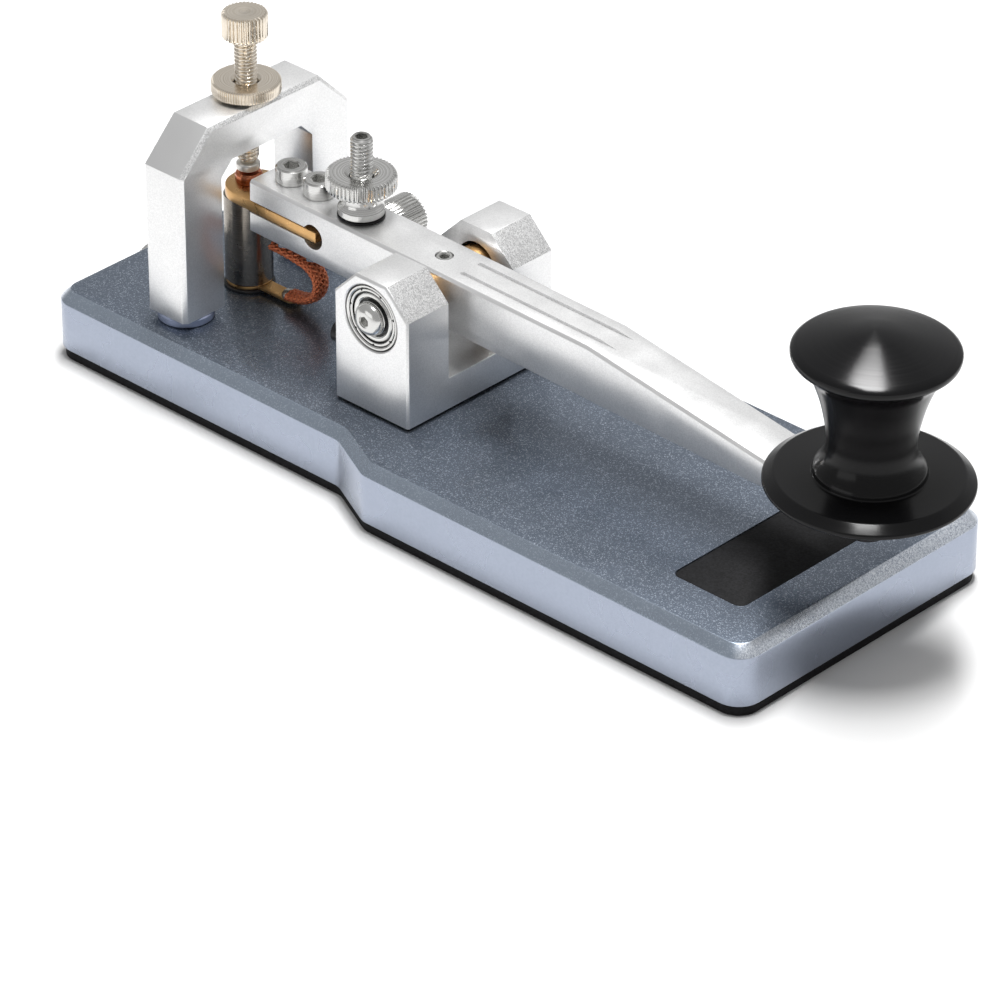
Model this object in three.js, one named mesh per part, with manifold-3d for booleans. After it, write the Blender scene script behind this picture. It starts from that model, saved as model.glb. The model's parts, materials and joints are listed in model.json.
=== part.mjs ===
// Straight morse key: a sprung lever in ball bearings on a heavy base, under a contact bridge
// at its rear end and with a knob at its front end.
// Millimetres, +Z up. +X runs along the lever towards the knob, the lever pivots about Y.
// The finished group stands on Z = 0 with its footprint centred on the origin.
import * as THREE from 'three';
import { mergeVertices } from 'three/addons/utils/BufferGeometryUtils.js';
import Module from 'manifold-3d';

const wasm = await Module();
wasm.setup();

// ---------------------------------------------------------------- driving dimensions

// Base: X is measured from its rear edge, heights from its top face.
const BASE = {
  length: 163.9, frontWidth: 60.6, rearWidth: 50.4, thickness: 10.8, chamfer: 1.8, cornerRadius: 4.5,
  shoulderStart: 69.8, shoulderEnd: 80.4, shoulderRadius: 4,
};
const SCREW_HEAD = { radius: 3.5, height: 2.6, pocket: 3.2, socket: 2.5, socketDepth: 1.6 };
const CHANNEL = { width: 4, depth: 3 };
const RUBBER = { thickness: 2, inset: 0.5 };
const PAD = {
  centreX: 147.1, length: 15, width: 40, depth: 0.6, thickness: 0.45, cornerRadius: 1.6, gap: 0.15,
};

const BRIDGE = {
  x: 23.8, length: 9.4, width: 40.4, top: 36.8, cornerCut: 7.1, edgeBevel: 0.7,
  openingWidth: 21.6, openingTop: 29.1, openingCut: 2.6, footTap: 8,
};
const FOOT = { radius: 4.9, height: 1.6 };
const BRIDGE_SCREWS_Y = [-15.5, 15.5];

const BLOCK = {
  x: 70.2, length: 17, width: 35, top: 25.6, cornerCut: 5, gapWidth: 15.5, floor: 6.3, edgeBevel: 0.4,
};
const BLOCK_SCREWS_Y = [-12.6, 12.6];
const LOCK_SCREW = {
  y: [-13.6, 13.6], z: 10.2, headRadius: 2.1, headLength: 3, reach: 5, socket: 2, socketDepth: 1.5,
};
const GASKET = { thickness: 0.35, inset: 0.3 };
const PIVOT_HEIGHT = 18.4;
const BEARING = {
  outerRadius: 6, outerHole: 5.3, shieldRadius: 5.2, shieldHole: 3.25, innerRing: 3, width: 4, recess: 0.2,
  landRadius: 4.2, shieldDepth: 0.35, shieldThickness: 0.4,
};
const AXLE = { radius: 2, tapRadius: 1.1, tapDepth: 7, bushRadius: 3.6 };

const LEVER = {
  width: 10, height: 9.8, rear: -41, front: 98.2,
  breakX: 36.8, landX: 80, landHeight: -0.65, edgeChamfer: 0.5,
};
const LEVER_TILT = THREE.MathUtils.degToRad(1.2);
const SLOT = { height: 2.3, z: -0.2, holeX: -26, holeRadius: 2.3 };
const LEAF = { thickness: 2, roundX: -45, radius: 5, front: -25.3 };

const TOP = LEVER.height / 2;
const HALF = LEVER.width / 2;
const GROOVE = { from: 6.3, to: LEVER.breakX + 5.4, y: 2.1, halfWidth: 0.45, depth: 0.35 };

// Contacts: the post under the leaf is the rest stop, the screw above it sets the gap.
const CONTACT_X = BRIDGE.x;
const CONTACT_GAP = 0.35;
const POST = { x: 23.5, radius: 4.2, washerHeight: 0.55, stopGap: 0.12, edge: 0.3 };
const TAB = { thickness: 0.6, width: 3, end: 35.3, cornerRadius: 1.2 };
const RIVET = {
  x: (CONTACT_X - BLOCK.x) / Math.cos(LEVER_TILT) + 0.1, radius: 2.4, height: 2, shankRadius: 1,
};
const HEAD = { bottom: 47.7, top: 52.4, radius: 3.95, edge: 0.3 };

// Screws along the lever; X from the pivot.
const CLAMP_X = [-36, -29.3];
const ADJUST = { x: -19.4, top: 20, bottom: -TOP - 6 };
const ADJUST_MAGNET = { radius: 2, height: 2.5 };
const SIDE = {
  z: 0.2, headStart: HALF + 0.35, headEnd: HALF + 7.3, radius: 4, tip: 2.3, tipRadius: 1.3, edge: 0.3,
};
const MAGNET = { radius: 4, height: 3, sink: 2.4 };
const WASHER_HEIGHT = 0.4;

const KNOB = { x: 93.15, skirtRadius: 17.1, headRadius: 13.6, bottom: 1.5, top: 29.7, domeHeight: 3.9 };

const JACK = { z: -6, barrelRadius: 3, boreRadius: 1.8, bodyRadius: 4.2, nutRadius: 4.4, nutLength: 1.6,
  bodyLength: 12, wall: 2.4, reach: 2 };

const M4_RADIUS = 2;
const M3_RADIUS = 1.5;
// An M4 thread as a plain cylinder, a little under size so that it turns freely.
const THREAD_RADIUS = M4_RADIUS - 0.05;
// Clearance between glued or stacked faces, and round a screw in its hole.
const GLUE = 0.05;
const FIT = 0.1;

// Sides of a turned piece, and of a screw's shank or hole.
const ROUND = 24;
const SMALL_ROUND = 12;

// ---------------------------------------------------------------- materials

function finish(colour, roughness, metalness) {
  return new THREE.MeshStandardMaterial({ color: colour, roughness, metalness });
}

const slateAnodised = finish(0x4f5963, 0.55, 0.6);
const blastedAluminium = finish(0xd4d5d6, 0.45, 0.9);
const brightSteel = finish(0xc9cacb, 0.2, 1);
const warmNickel = finish(0xd6cfc4, 0.22, 1);
const darkNickel = finish(0x6c6863, 0.25, 1);
const brass = finish(0xc9974f, 0.3, 1);
const copper = finish(0xb5643f, 0.35, 1);
const copperBraid = finish(0xb9532f, 0.5, 0.8);
const whiteContact = finish(0xefefec, 0.3, 0.9);
const blackPolish = finish(0x161616, 0.18, 0.3);
const blackRubber = finish(0x17181a, 0.85, 0);
const blackPlastic = finish(0x1c1d1f, 0.5, 0);
const blackOxide = finish(0x141416, 0.4, 0.7);
const redSleeve = finish(0x9c2020, 0.5, 0);
const blueDisc = finish(0x8d98b4, 0.4, 0.5);

// ---------------------------------------------------------------- solids and cuts

// A closed geometry becomes a solid that can be joined and cut.
function solid(geometry) {
  const bare = geometry.clone();
  bare.deleteAttribute('normal');
  bare.deleteAttribute('uv');
  const merged = mergeVertices(bare, 1e-4);
  const vertProperties = new Float32Array(merged.attributes.position.array);
  const triVerts = new Uint32Array(merged.index.array);
  return new wasm.Manifold(new wasm.Mesh({ numProp: 3, vertProperties, triVerts }));
}

function geometryOf(body) {
  const { vertProperties, triVerts } = body.getMesh();
  const geometry = new THREE.BufferGeometry();
  geometry.setAttribute('position', new THREE.BufferAttribute(new Float32Array(vertProperties), 3));
  geometry.setIndex(new THREE.BufferAttribute(new Uint32Array(triVerts), 1));
  return geometry;
}

function cut(body, ...tools) {
  return tools.reduce((rest, tool) => rest.subtract(tool), body);
}

function join(body, ...others) {
  return others.reduce((sum, other) => sum.add(other), body);
}

// A box between two corners.
function block(x0, x1, y0, y1, z0, z1) {
  const box = new THREE.BoxGeometry(x1 - x0, y1 - y0, z1 - z0);
  return solid(box.translate((x0 + x1) / 2, (y0 + y1) / 2, (z0 + z1) / 2));
}

// A round or many-sided bar along 'x', 'y' or 'z', from start to end on that axis.
function bar(axis, radius, start, end, across, sides = ROUND) {
  const shape = new THREE.CylinderGeometry(radius, radius, end - start, sides);
  const middle = (start + end) / 2;
  if (axis === 'x') {
    return solid(shape.rotateZ(-Math.PI / 2).translate(middle, across[0], across[1]));
  }
  if (axis === 'y') {
    return solid(shape.translate(across[0], middle, across[1]));
  }
  return solid(shape.rotateX(Math.PI / 2).translate(across[0], across[1], middle));
}

// A turned piece: profile points are [radius, height] and the axis is Z.
function turned(profile, sides = ROUND) {
  const points = profile.map(([radius, height]) => new THREE.Vector2(radius, height));
  return solid(new THREE.LatheGeometry(points, sides).rotateX(Math.PI / 2));
}

// The same piece with its axis along Y, its profile's height running towards +Y.
function turnedAlongY(profile, sides = ROUND) {
  const points = profile.map(([radius, height]) => new THREE.Vector2(radius, height));
  return solid(new THREE.LatheGeometry(points, sides));
}

// A flat plate: an outline in X and Y, drawn upwards from z0 to z1.
function plate(shape, z0, z1) {
  const flat = new THREE.ExtrudeGeometry(shape, { depth: z1 - z0, bevelEnabled: false, curveSegments: 5 });
  return solid(flat.translate(0, 0, z0));
}

// An outline in X and Z, drawn along Y from y0 to y1.
function profileAlongY(shape, y0, y1) {
  const flat = new THREE.ExtrudeGeometry(shape, { depth: y1 - y0, bevelEnabled: false });
  return solid(flat.rotateX(Math.PI / 2).translate(0, y1, 0));
}

// Turns a drawing in X and Y into one in Y and Z, with its depth along X.
const ALONG_X = new THREE.Matrix4().makeBasis(
  new THREE.Vector3(0, 1, 0), new THREE.Vector3(0, 0, 1), new THREE.Vector3(1, 0, 0),
);

// An outline in Y and Z, drawn along X from x0 to x1.
function profileAlongX(shape, x0, x1) {
  const flat = new THREE.ExtrudeGeometry(shape, { depth: x1 - x0, bevelEnabled: false });
  return solid(flat.applyMatrix4(ALONG_X).translate(x0, 0, 0));
}

function outline(points) {
  return new THREE.Shape(points.map(([x, y]) => new THREE.Vector2(x, y)));
}

// A closed outline through corners [x, y, radius], each corner rounded by an arc-like curve.
function roundedOutline(corners) {
  const shape = new THREE.Shape();
  corners.forEach(([x, y, radius], i) => {
    const [px, py] = corners[(i + corners.length - 1) % corners.length];
    const [nx, ny] = corners[(i + 1) % corners.length];
    const corner = new THREE.Vector2(x, y);
    const back = new THREE.Vector2(px - x, py - y).normalize();
    const on = new THREE.Vector2(nx - x, ny - y).normalize();
    const half = Math.acos(back.dot(on)) / 2;
    const reach = radius / Math.tan(half);
    const centre = back.clone().add(on).normalize().multiplyScalar(radius / Math.sin(half)).add(corner);
    const start = back.multiplyScalar(reach).add(corner);
    const end = on.multiplyScalar(reach).add(corner);
    const from = Math.atan2(start.y - centre.y, start.x - centre.x);
    const to = Math.atan2(end.y - centre.y, end.x - centre.x);
    const clockwise = (start.x - centre.x) * (end.y - centre.y) < (start.y - centre.y) * (end.x - centre.x);
    shape.absarc(centre.x, centre.y, radius, from, to, clockwise);
  });
  return shape;
}

function roundedRectangle(x0, x1, y0, y1, radius) {
  return roundedOutline([[x0, y0, radius], [x1, y0, radius], [x1, y1, radius], [x0, y1, radius]]);
}

// Clearance for an upright M4 screw.
function screwHole(x, y, z0, z1) {
  return bar('z', M4_RADIUS + FIT, z0, z1, [x, y], SMALL_ROUND);
}

// A hexagonal recess or nut, by its width across the flats.
function hexAlongZ(acrossFlats, x, y, z0, z1) {
  return bar('z', acrossFlats / Math.sqrt(3), z0, z1, [x, y], 6);
}

// ---------------------------------------------------------------- scene graph

const key = new THREE.Group();
const deck = new THREE.Group();
deck.position.z = RUBBER.thickness + GLUE + BASE.thickness;
key.add(deck);

// Everything that rocks with the lever, with the pivot as its own origin.
const rocker = new THREE.Group();
rocker.position.set(BLOCK.x, 0, PIVOT_HEIGHT);
rocker.rotation.y = LEVER_TILT;
deck.add(rocker);

function put(group, name, body, material) {
  const mesh = new THREE.Mesh(geometryOf(body), material);
  mesh.name = name;
  group.add(mesh);
  return mesh;
}

// ---------------------------------------------------------------- base, rubber and pad

function baseOutline(inset) {
  const rear = BASE.rearWidth / 2 - inset;
  const front = BASE.frontWidth / 2 - inset;
  const corner = BASE.cornerRadius - inset;
  const shoulder = BASE.shoulderRadius;
  const far = [
    [BASE.length - inset, front, corner], [BASE.shoulderEnd, front, shoulder],
    [BASE.shoulderStart, rear, shoulder], [inset, rear, corner],
  ];
  const near = far.map(([x, y, radius]) => [x, -y, radius]).reverse();
  return roundedOutline([...near, ...far]);
}

function makeBase() {
  const floor = -BASE.thickness;
  const depth = BASE.thickness + 2 * BASE.chamfer;
  const chamfered = new THREE.ExtrudeGeometry(baseOutline(0), {
    depth, bevelEnabled: true, bevelThickness: BASE.chamfer, bevelSize: BASE.chamfer,
    bevelOffset: -BASE.chamfer, bevelSegments: 1, curveSegments: 5,
  });
  const raw = solid(chamfered.translate(0, 0, -depth - BASE.chamfer));
  const below = block(-5, BASE.length + 5, -40, 40, -60, floor);
  const screwHoles = [
    ...BRIDGE_SCREWS_Y.map((y) => [BRIDGE.x, y]),
    ...BLOCK_SCREWS_Y.map((y) => [BLOCK.x, y]),
    [POST.x, 0],
  ].map(([x, y]) => join(
    bar('z', M4_RADIUS + 2 * FIT, floor - 1, 1, [x, y], SMALL_ROUND),
    bar('z', SCREW_HEAD.radius + 3 * FIT, floor - 1, floor + SCREW_HEAD.pocket, [x, y], 16),
  ));
  const padRecess = plate(roundedRectangle(
    PAD.centreX - PAD.length / 2, PAD.centreX + PAD.length / 2, -PAD.width / 2, PAD.width / 2,
    PAD.cornerRadius,
  ), -PAD.depth, 1);
  const jackBore = bar('x', JACK.barrelRadius + FIT, -1, JACK.wall + 1, [0, JACK.z], 24);
  const pocketHalf = JACK.bodyRadius + 0.5;
  const jackPocket = block(JACK.wall, JACK.wall + JACK.bodyLength + 1.6, -pocketHalf, pocketHalf,
    floor - 1, JACK.z + pocketHalf);
  const channelTop = floor + CHANNEL.depth;
  const halfChannel = CHANNEL.width / 2;
  const lengthwise = block(JACK.wall + JACK.bodyLength, POST.x, -halfChannel, halfChannel,
    floor - 1, channelTop);
  const crossX = POST.x - SCREW_HEAD.radius - 1;
  const crosswise = block(crossX - halfChannel, crossX + halfChannel, 0, BRIDGE_SCREWS_Y[1] - 1,
    floor - 1, channelTop);
  const magnetSeat = bar('z', MAGNET.radius + FIT, -MAGNET.sink, 1, [BLOCK.x + ADJUST.x, 0], 24);
  return cut(raw, below, ...screwHoles, padRecess, jackBore, jackPocket, lengthwise, crosswise, magnetSeat);
}

put(deck, 'base_plate', makeBase(), slateAnodised);

const rubberTop = -BASE.thickness - GLUE;
put(deck, 'rubber_sheet', plate(baseOutline(RUBBER.inset), rubberTop - RUBBER.thickness, rubberTop),
  blackRubber);

put(deck, 'inlay_pad', plate(roundedRectangle(
  PAD.centreX - PAD.length / 2 + PAD.gap, PAD.centreX + PAD.length / 2 - PAD.gap,
  -PAD.width / 2 + PAD.gap, PAD.width / 2 - PAD.gap, PAD.cornerRadius - PAD.gap,
), -PAD.depth + GLUE, -PAD.depth + GLUE + PAD.thickness), blackRubber);

put(deck, 'base_magnet', bar('z', MAGNET.radius, -MAGNET.sink + GLUE, MAGNET.height - MAGNET.sink,
  [BLOCK.x + ADJUST.x, 0], 24), brightSteel);

// A pan-head screw from below, with a hexagonal recess in its head.
function baseScrew(name, x, y, reach) {
  const seat = -BASE.thickness + SCREW_HEAD.pocket - GLUE;
  const bottom = seat - SCREW_HEAD.height;
  const head = bar('z', SCREW_HEAD.radius, bottom, seat, [x, y], 16);
  const shank = bar('z', M4_RADIUS, seat - 0.5, reach, [x, y], SMALL_ROUND);
  const socket = hexAlongZ(SCREW_HEAD.socket, x, y, bottom - 1, bottom + SCREW_HEAD.socketDepth);
  put(deck, name, cut(join(head, shank), socket), blackOxide);
}

// ---------------------------------------------------------------- contact bridge and its feet

function bridgeOutline(halfWidth, top, cornerCut, bottom) {
  return outline([
    [-halfWidth, bottom], [halfWidth, bottom], [halfWidth, top - cornerCut], [halfWidth - cornerCut, top],
    [-halfWidth + cornerCut, top], [-halfWidth, top - cornerCut],
  ]);
}

// An arch with its corners cut and its front and rear edges bevelled.
function bridgeBody() {
  const bevel = BRIDGE.edgeBevel;
  const half = BRIDGE.width / 2;
  const front = BRIDGE.x + BRIDGE.length / 2;
  const rear = BRIDGE.x - BRIDGE.length / 2;
  const outer = new THREE.ExtrudeGeometry(bridgeOutline(half, BRIDGE.top, BRIDGE.cornerCut, -4), {
    depth: BRIDGE.length - 2 * bevel, bevelEnabled: true, bevelThickness: bevel, bevelSize: bevel,
    bevelOffset: -bevel, bevelSegments: 1,
  });
  const body = solid(outer.applyMatrix4(ALONG_X).translate(rear + bevel, 0, 0));
  const opening = bridgeOutline(BRIDGE.openingWidth / 2, BRIDGE.openingTop, BRIDGE.openingCut, -6);
  return cut(
    body,
    block(rear - 1, front + 1, -half - 1, half + 1, -10, FOOT.height + GLUE),
    profileAlongX(opening, rear - 1, front + 1),
    bar('z', M4_RADIUS + FIT, BRIDGE.openingTop - 1, BRIDGE.top + 1, [CONTACT_X, 0]),
    ...BRIDGE_SCREWS_Y.map((y) => screwHole(BRIDGE.x, y, 0, FOOT.height + BRIDGE.footTap + 1)),
  );
}

put(deck, 'bridge', bridgeBody(), blastedAluminium);

['near', 'far'].forEach((side, i) => {
  const y = BRIDGE_SCREWS_Y[i];
  const disc = cut(
    bar('z', FOOT.radius, GLUE, FOOT.height, [BRIDGE.x, y]),
    screwHole(BRIDGE.x, y, -1, FOOT.height + 1),
  );
  put(deck, `bridge_foot_${side}`, disc, blueDisc);
  baseScrew(`bridge_screw_${side}`, BRIDGE.x, y, FOOT.height + BRIDGE.footTap);
});

// ---------------------------------------------------------------- post, solder tab and braid

const POST_TOP = PIVOT_HEIGHT + (BLOCK.x - POST.x) * Math.sin(LEVER_TILT)
  + (SLOT.z - LEAF.thickness / 2) * Math.cos(LEVER_TILT) - POST.stopGap;

put(deck, 'post_washer', cut(
  bar('z', POST.radius + 0.25, GLUE, POST.washerHeight, [POST.x, 0]),
  screwHole(POST.x, 0, -1, 2),
), blackPlastic);

const TAB_SEAT = POST.washerHeight + GLUE;
function tabBody() {
  const ring = bar('z', POST.radius - 0.2, TAB_SEAT, TAB_SEAT + TAB.thickness, [POST.x, 0]);
  const tongue = plate(roundedRectangle(POST.x, TAB.end, -TAB.width / 2, TAB.width / 2, TAB.cornerRadius),
    TAB_SEAT, TAB_SEAT + TAB.thickness);
  return cut(join(ring, tongue), screwHole(POST.x, 0, -1, 3));
}
put(deck, 'solder_tab', tabBody(), brass);

const POST_FOOT = TAB_SEAT + TAB.thickness + GLUE;
const POST_TAP = 8;
put(deck, 'contact_post', cut(
  turned([
    [0, POST_FOOT], [POST.radius - POST.edge, POST_FOOT], [POST.radius, POST_FOOT + POST.edge],
    [POST.radius, POST_TOP - POST.edge], [POST.radius - POST.edge, POST_TOP], [0, POST_TOP],
  ]).translate([POST.x, 0, 0]),
  screwHole(POST.x, 0, 0, POST_FOOT + POST_TAP),
), darkNickel);
baseScrew('post_screw', POST.x, 0, POST_FOOT + POST_TAP - 1);

// The braid: a flat flexible lead from the tab up and back along the lever's underside.
const BRAID = { y: -0.6, width: 3.2, thickness: 1.6, steps: 20 };
const BRAID_ROUTE = [
  [33.2, 2.2], [36, 2.4], [38.8, 3], [41, 4.4], [42.2, 6.5], [41.8, 8.5], [40, 9.8], [37.2, 10.2],
  [33.6, 10.4], [30.6, 10.5],
];
function braidBody() {
  const route = new THREE.CatmullRomCurve3(BRAID_ROUTE.map(([x, z]) => new THREE.Vector3(x, BRAID.y, z)));
  const half = BRAID.thickness / 2;
  const near = [];
  const away = [];
  for (let i = 0; i <= BRAID.steps; i += 1) {
    const at = route.getPoint(i / BRAID.steps);
    const along = route.getTangent(i / BRAID.steps);
    near.push([at.x - along.z * half, at.z + along.x * half]);
    away.push([at.x + along.z * half, at.z - along.x * half]);
  }
  const section = outline([...away, ...near.reverse()]);
  return profileAlongY(section, BRAID.y - BRAID.width / 2, BRAID.y + BRAID.width / 2);
}
put(deck, 'braid', braidBody(), copperBraid);

// ---------------------------------------------------------------- pivot block

const BLOCK_BOTTOM = GASKET.thickness + 2 * GLUE;
const BLOCK_TAP = 8.5;
const gasketX = BLOCK.length / 2 - GASKET.inset;
const gasketY = BLOCK.width / 2 - GASKET.inset;
put(deck, 'block_gasket', cut(
  block(BLOCK.x - gasketX, BLOCK.x + gasketX, -gasketY, gasketY, GLUE, GLUE + GASKET.thickness),
  ...BLOCK_SCREWS_Y.map((y) => screwHole(BLOCK.x, y, -1, 2)),
), blackRubber);

function pivotBlockBody() {
  const halfLength = BLOCK.length / 2;
  const halfWidth = BLOCK.width / 2;
  const bevel = BLOCK.edgeBevel;
  const side = outline([
    [BLOCK.x - halfLength, -3], [BLOCK.x + halfLength, -3],
    [BLOCK.x + halfLength, BLOCK.top - BLOCK.cornerCut], [BLOCK.x + halfLength - BLOCK.cornerCut, BLOCK.top],
    [BLOCK.x - halfLength + BLOCK.cornerCut, BLOCK.top], [BLOCK.x - halfLength, BLOCK.top - BLOCK.cornerCut],
  ]);
  const bevelled = new THREE.ExtrudeGeometry(side, {
    depth: BLOCK.width - 2 * bevel, bevelEnabled: true, bevelThickness: bevel, bevelSize: bevel,
    bevelOffset: -bevel, bevelSegments: 1,
  });
  const body = solid(bevelled.rotateX(Math.PI / 2).translate(0, halfWidth - bevel, 0));
  const bearingDepth = BEARING.width + BEARING.recess;
  const bores = [-1, 1].flatMap((sign) => {
    const face = sign * halfWidth;
    const seat = face - sign * bearingDepth;
    const boreRadius = BEARING.outerRadius + GLUE;
    const lip = new THREE.CylinderGeometry(boreRadius + BEARING.recess, boreRadius, BEARING.recess, ROUND);
    if (sign < 0) {
      lip.rotateZ(Math.PI);
    }
    lip.translate(BLOCK.x, face - sign * BEARING.recess / 2, PIVOT_HEIGHT);
    const [low, high] = [face + sign, seat].sort((a, b) => a - b);
    return [bar('y', boreRadius, low, high, [BLOCK.x, PIVOT_HEIGHT]), solid(lip)];
  });
  return cut(
    body,
    block(BLOCK.x - 20, BLOCK.x + 20, -30, 30, -5, BLOCK_BOTTOM),
    block(BLOCK.x - 20, BLOCK.x + 20, -BLOCK.gapWidth / 2, BLOCK.gapWidth / 2, BLOCK.floor, BLOCK.top + 5),
    bar('y', BEARING.landRadius, -halfWidth - 1, halfWidth + 1, [BLOCK.x, PIVOT_HEIGHT]),
    ...bores,
    ...BLOCK_SCREWS_Y.map((y) => screwHole(BLOCK.x, y, 0, BLOCK_TAP + 1)),
    ...LOCK_SCREW.y.map((y) => bar('x', M3_RADIUS + FIT, BLOCK.x - halfLength - 1,
      BLOCK.x - halfLength + LOCK_SCREW.reach + 1, [y, LOCK_SCREW.z], SMALL_ROUND)),
  );
}

put(deck, 'pivot_block', pivotBlockBody(), blastedAluminium);

['near', 'far'].forEach((side, i) => {
  const sign = i === 0 ? -1 : 1;
  const face = sign * BLOCK.width / 2;
  baseScrew(`block_screw_${side}`, BLOCK.x, BLOCK_SCREWS_Y[i], BLOCK_TAP);

  // Lock screw with a black head on the block's rear face.
  const rear = BLOCK.x - BLOCK.length / 2 - GLUE;
  const tip = rear - LOCK_SCREW.headLength;
  const lockAt = [LOCK_SCREW.y[i], LOCK_SCREW.z];
  const lockScrew = cut(
    join(
      bar('x', LOCK_SCREW.headRadius, tip, rear, lockAt, 16),
      bar('x', M3_RADIUS, rear - 0.5, rear + LOCK_SCREW.reach, lockAt, SMALL_ROUND),
    ),
    bar('x', LOCK_SCREW.socket / Math.sqrt(3), tip - 1, tip + LOCK_SCREW.socketDepth, lockAt, 6),
  );
  put(deck, `block_lock_screw_${side}`, lockScrew, blackOxide);

  // Ball bearing: the outer ring and shield stay in the block, the inner ring turns with the axle.
  const out = face - sign * BEARING.recess;
  const inn = out - sign * BEARING.width;
  const [low, high] = sign < 0 ? [out, inn] : [inn, out];
  const at = [BLOCK.x, PIVOT_HEIGHT];
  put(deck, `bearing_outer_${side}`, cut(
    bar('y', BEARING.outerRadius, low, high, at),
    bar('y', BEARING.outerHole, low - 1, high + 1, at),
  ), brightSteel);
  const shieldOut = out - sign * BEARING.shieldDepth;
  const shieldIn = shieldOut - sign * BEARING.shieldThickness;
  const [shieldLow, shieldHigh] = sign < 0 ? [shieldOut, shieldIn] : [shieldIn, shieldOut];
  put(deck, `bearing_shield_${side}`, cut(
    bar('y', BEARING.shieldRadius, shieldLow, shieldHigh, at),
    bar('y', BEARING.shieldHole, shieldLow - 1, shieldHigh + 1, at),
  ), brightSteel);
});

// ---------------------------------------------------------------- axle, bushes and end screws

const AXLE_END = BLOCK.width / 2 - BEARING.recess - GLUE;
put(rocker, 'axle', cut(
  bar('y', AXLE.radius, -AXLE_END, AXLE_END, [0, 0]),
  bar('y', AXLE.tapRadius, -AXLE_END - 1, -AXLE_END + AXLE.tapDepth, [0, 0], SMALL_ROUND),
  bar('y', AXLE.tapRadius, AXLE_END - AXLE.tapDepth, AXLE_END + 1, [0, 0], SMALL_ROUND),
), brightSteel);

['near', 'far'].forEach((side, i) => {
  const sign = i === 0 ? -1 : 1;
  const ringOut = BLOCK.width / 2 - BEARING.recess;
  const ringIn = ringOut - BEARING.width;
  const bushOut = ringIn - GLUE;
  const bushIn = LEVER.width / 2 + GLUE;
  const span = (from, to) => (sign < 0 ? [-to, -from] : [from, to]);
  const [ring0, ring1] = span(ringIn, ringOut);
  const [bush0, bush1] = span(bushIn, bushOut);
  put(rocker, `bearing_inner_${side}`, cut(
    bar('y', BEARING.innerRing, ring0, ring1, [0, 0]),
    bar('y', AXLE.radius + FIT, ring0 - 1, ring1 + 1, [0, 0]),
  ), brightSteel);
  put(rocker, `brass_bush_${side}`, cut(
    bar('y', AXLE.bushRadius, bush0, bush1, [0, 0]),
    bar('y', AXLE.radius + FIT, bush0 - 1, bush1 + 1, [0, 0]),
  ), brass);

  // Button-head screw with a hexagonal socket, threaded into the axle's end.
  const seat = ringOut + GLUE;
  const dome = turnedAlongY([
    [0, -5], [1, -5], [1, 0], [2.95, 0], [2.95, 0.45], [2.75, 0.95], [2.2, 1.5], [1.6, 1.75], [0, 1.75],
  ]);
  const socket = solid(new THREE.CylinderGeometry(1.15, 1.15, 2, 6).translate(0, 1.9, 0));
  const screw = cut(dome, socket).translate([0, seat, 0]);
  const placed = sign < 0 ? screw.rotate([180, 0, 0]) : screw;
  put(rocker, `axle_screw_${side}`, placed, brightSteel);
});

// ---------------------------------------------------------------- lever

function leverSide() {
  return outline([
    [LEVER.rear, -TOP], [LEVER.front, -TOP], [LEVER.front, LEVER.landHeight], [LEVER.landX, LEVER.landHeight],
    [LEVER.breakX, TOP], [LEVER.rear, TOP],
  ]);
}

// The chamfer along each top edge follows the top face down its slope.
function leverEdgeCut(sign) {
  const reach = LEVER.edgeChamfer;
  const wedge = (x0, z0, x1, z1) => {
    const length = Math.hypot(x1 - x0, z1 - z0);
    const tool = outline([
      [sign * (HALF - reach), 0.001], [sign * (HALF + 2), 0.001], [sign * (HALF + 2), -reach - 2],
      [sign * HALF, -reach],
    ]);
    const prism = profileAlongX(tool, 0, length);
    const angle = THREE.MathUtils.radToDeg(Math.atan2(z1 - z0, x1 - x0));
    return prism.rotate([0, -angle, 0]).translate([x0, 0, z0]);
  };
  return [
    wedge(LEVER.rear - 1, TOP, LEVER.breakX, TOP),
    wedge(LEVER.breakX, TOP, LEVER.landX, LEVER.landHeight),
  ];
}

function leverBody() {
  const rounding = cut(
    block(LEVER.front - HALF, LEVER.front + 1, -HALF - 1, HALF + 1, -TOP - 1, TOP + 1),
    bar('z', HALF, -TOP - 2, TOP + 2, [LEVER.front - HALF, 0]),
  );
  const grooves = [-GROOVE.y, GROOVE.y].map((y) => block(
    GROOVE.from, GROOVE.to, y - GROOVE.halfWidth, y + GROOVE.halfWidth, TOP - GROOVE.depth, TOP + 1,
  ));
  return cut(
    profileAlongY(leverSide(), -HALF, HALF),
    ...leverEdgeCut(-1),
    ...leverEdgeCut(1),
    rounding,
    ...grooves,
    block(
      LEVER.rear - 1, SLOT.holeX, -HALF - 1, HALF + 1,
      SLOT.z - SLOT.height / 2, SLOT.z + SLOT.height / 2,
    ),
    bar('y', SLOT.holeRadius, -HALF - 1, HALF + 1, [SLOT.holeX, SLOT.z]),
    bar('y', AXLE.radius + GLUE, -HALF - 1, HALF + 1, [0, 0]),
    ...CLAMP_X.map((x) => bar('z', M3_RADIUS + FIT, -TOP - 1, TOP + 1, [x, 0], SMALL_ROUND)),
    bar('z', M4_RADIUS + FIT, -TOP - 1, TOP + 1, [ADJUST.x, 0]),
    bar('y', M3_RADIUS + FIT, 0, HALF + 1, [ADJUST.x, SIDE.z], SMALL_ROUND),
    bar('z', M3_RADIUS + FIT, AXLE.radius - 1, TOP + 1, [0, 0], SMALL_ROUND),
    screwHole(KNOB.x, 0, -TOP - 1, TOP + 1),
  );
}

put(rocker, 'lever', leverBody(), blastedAluminium);

// ---------------------------------------------------------------- leaf, contact rivet, clamp screws

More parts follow.
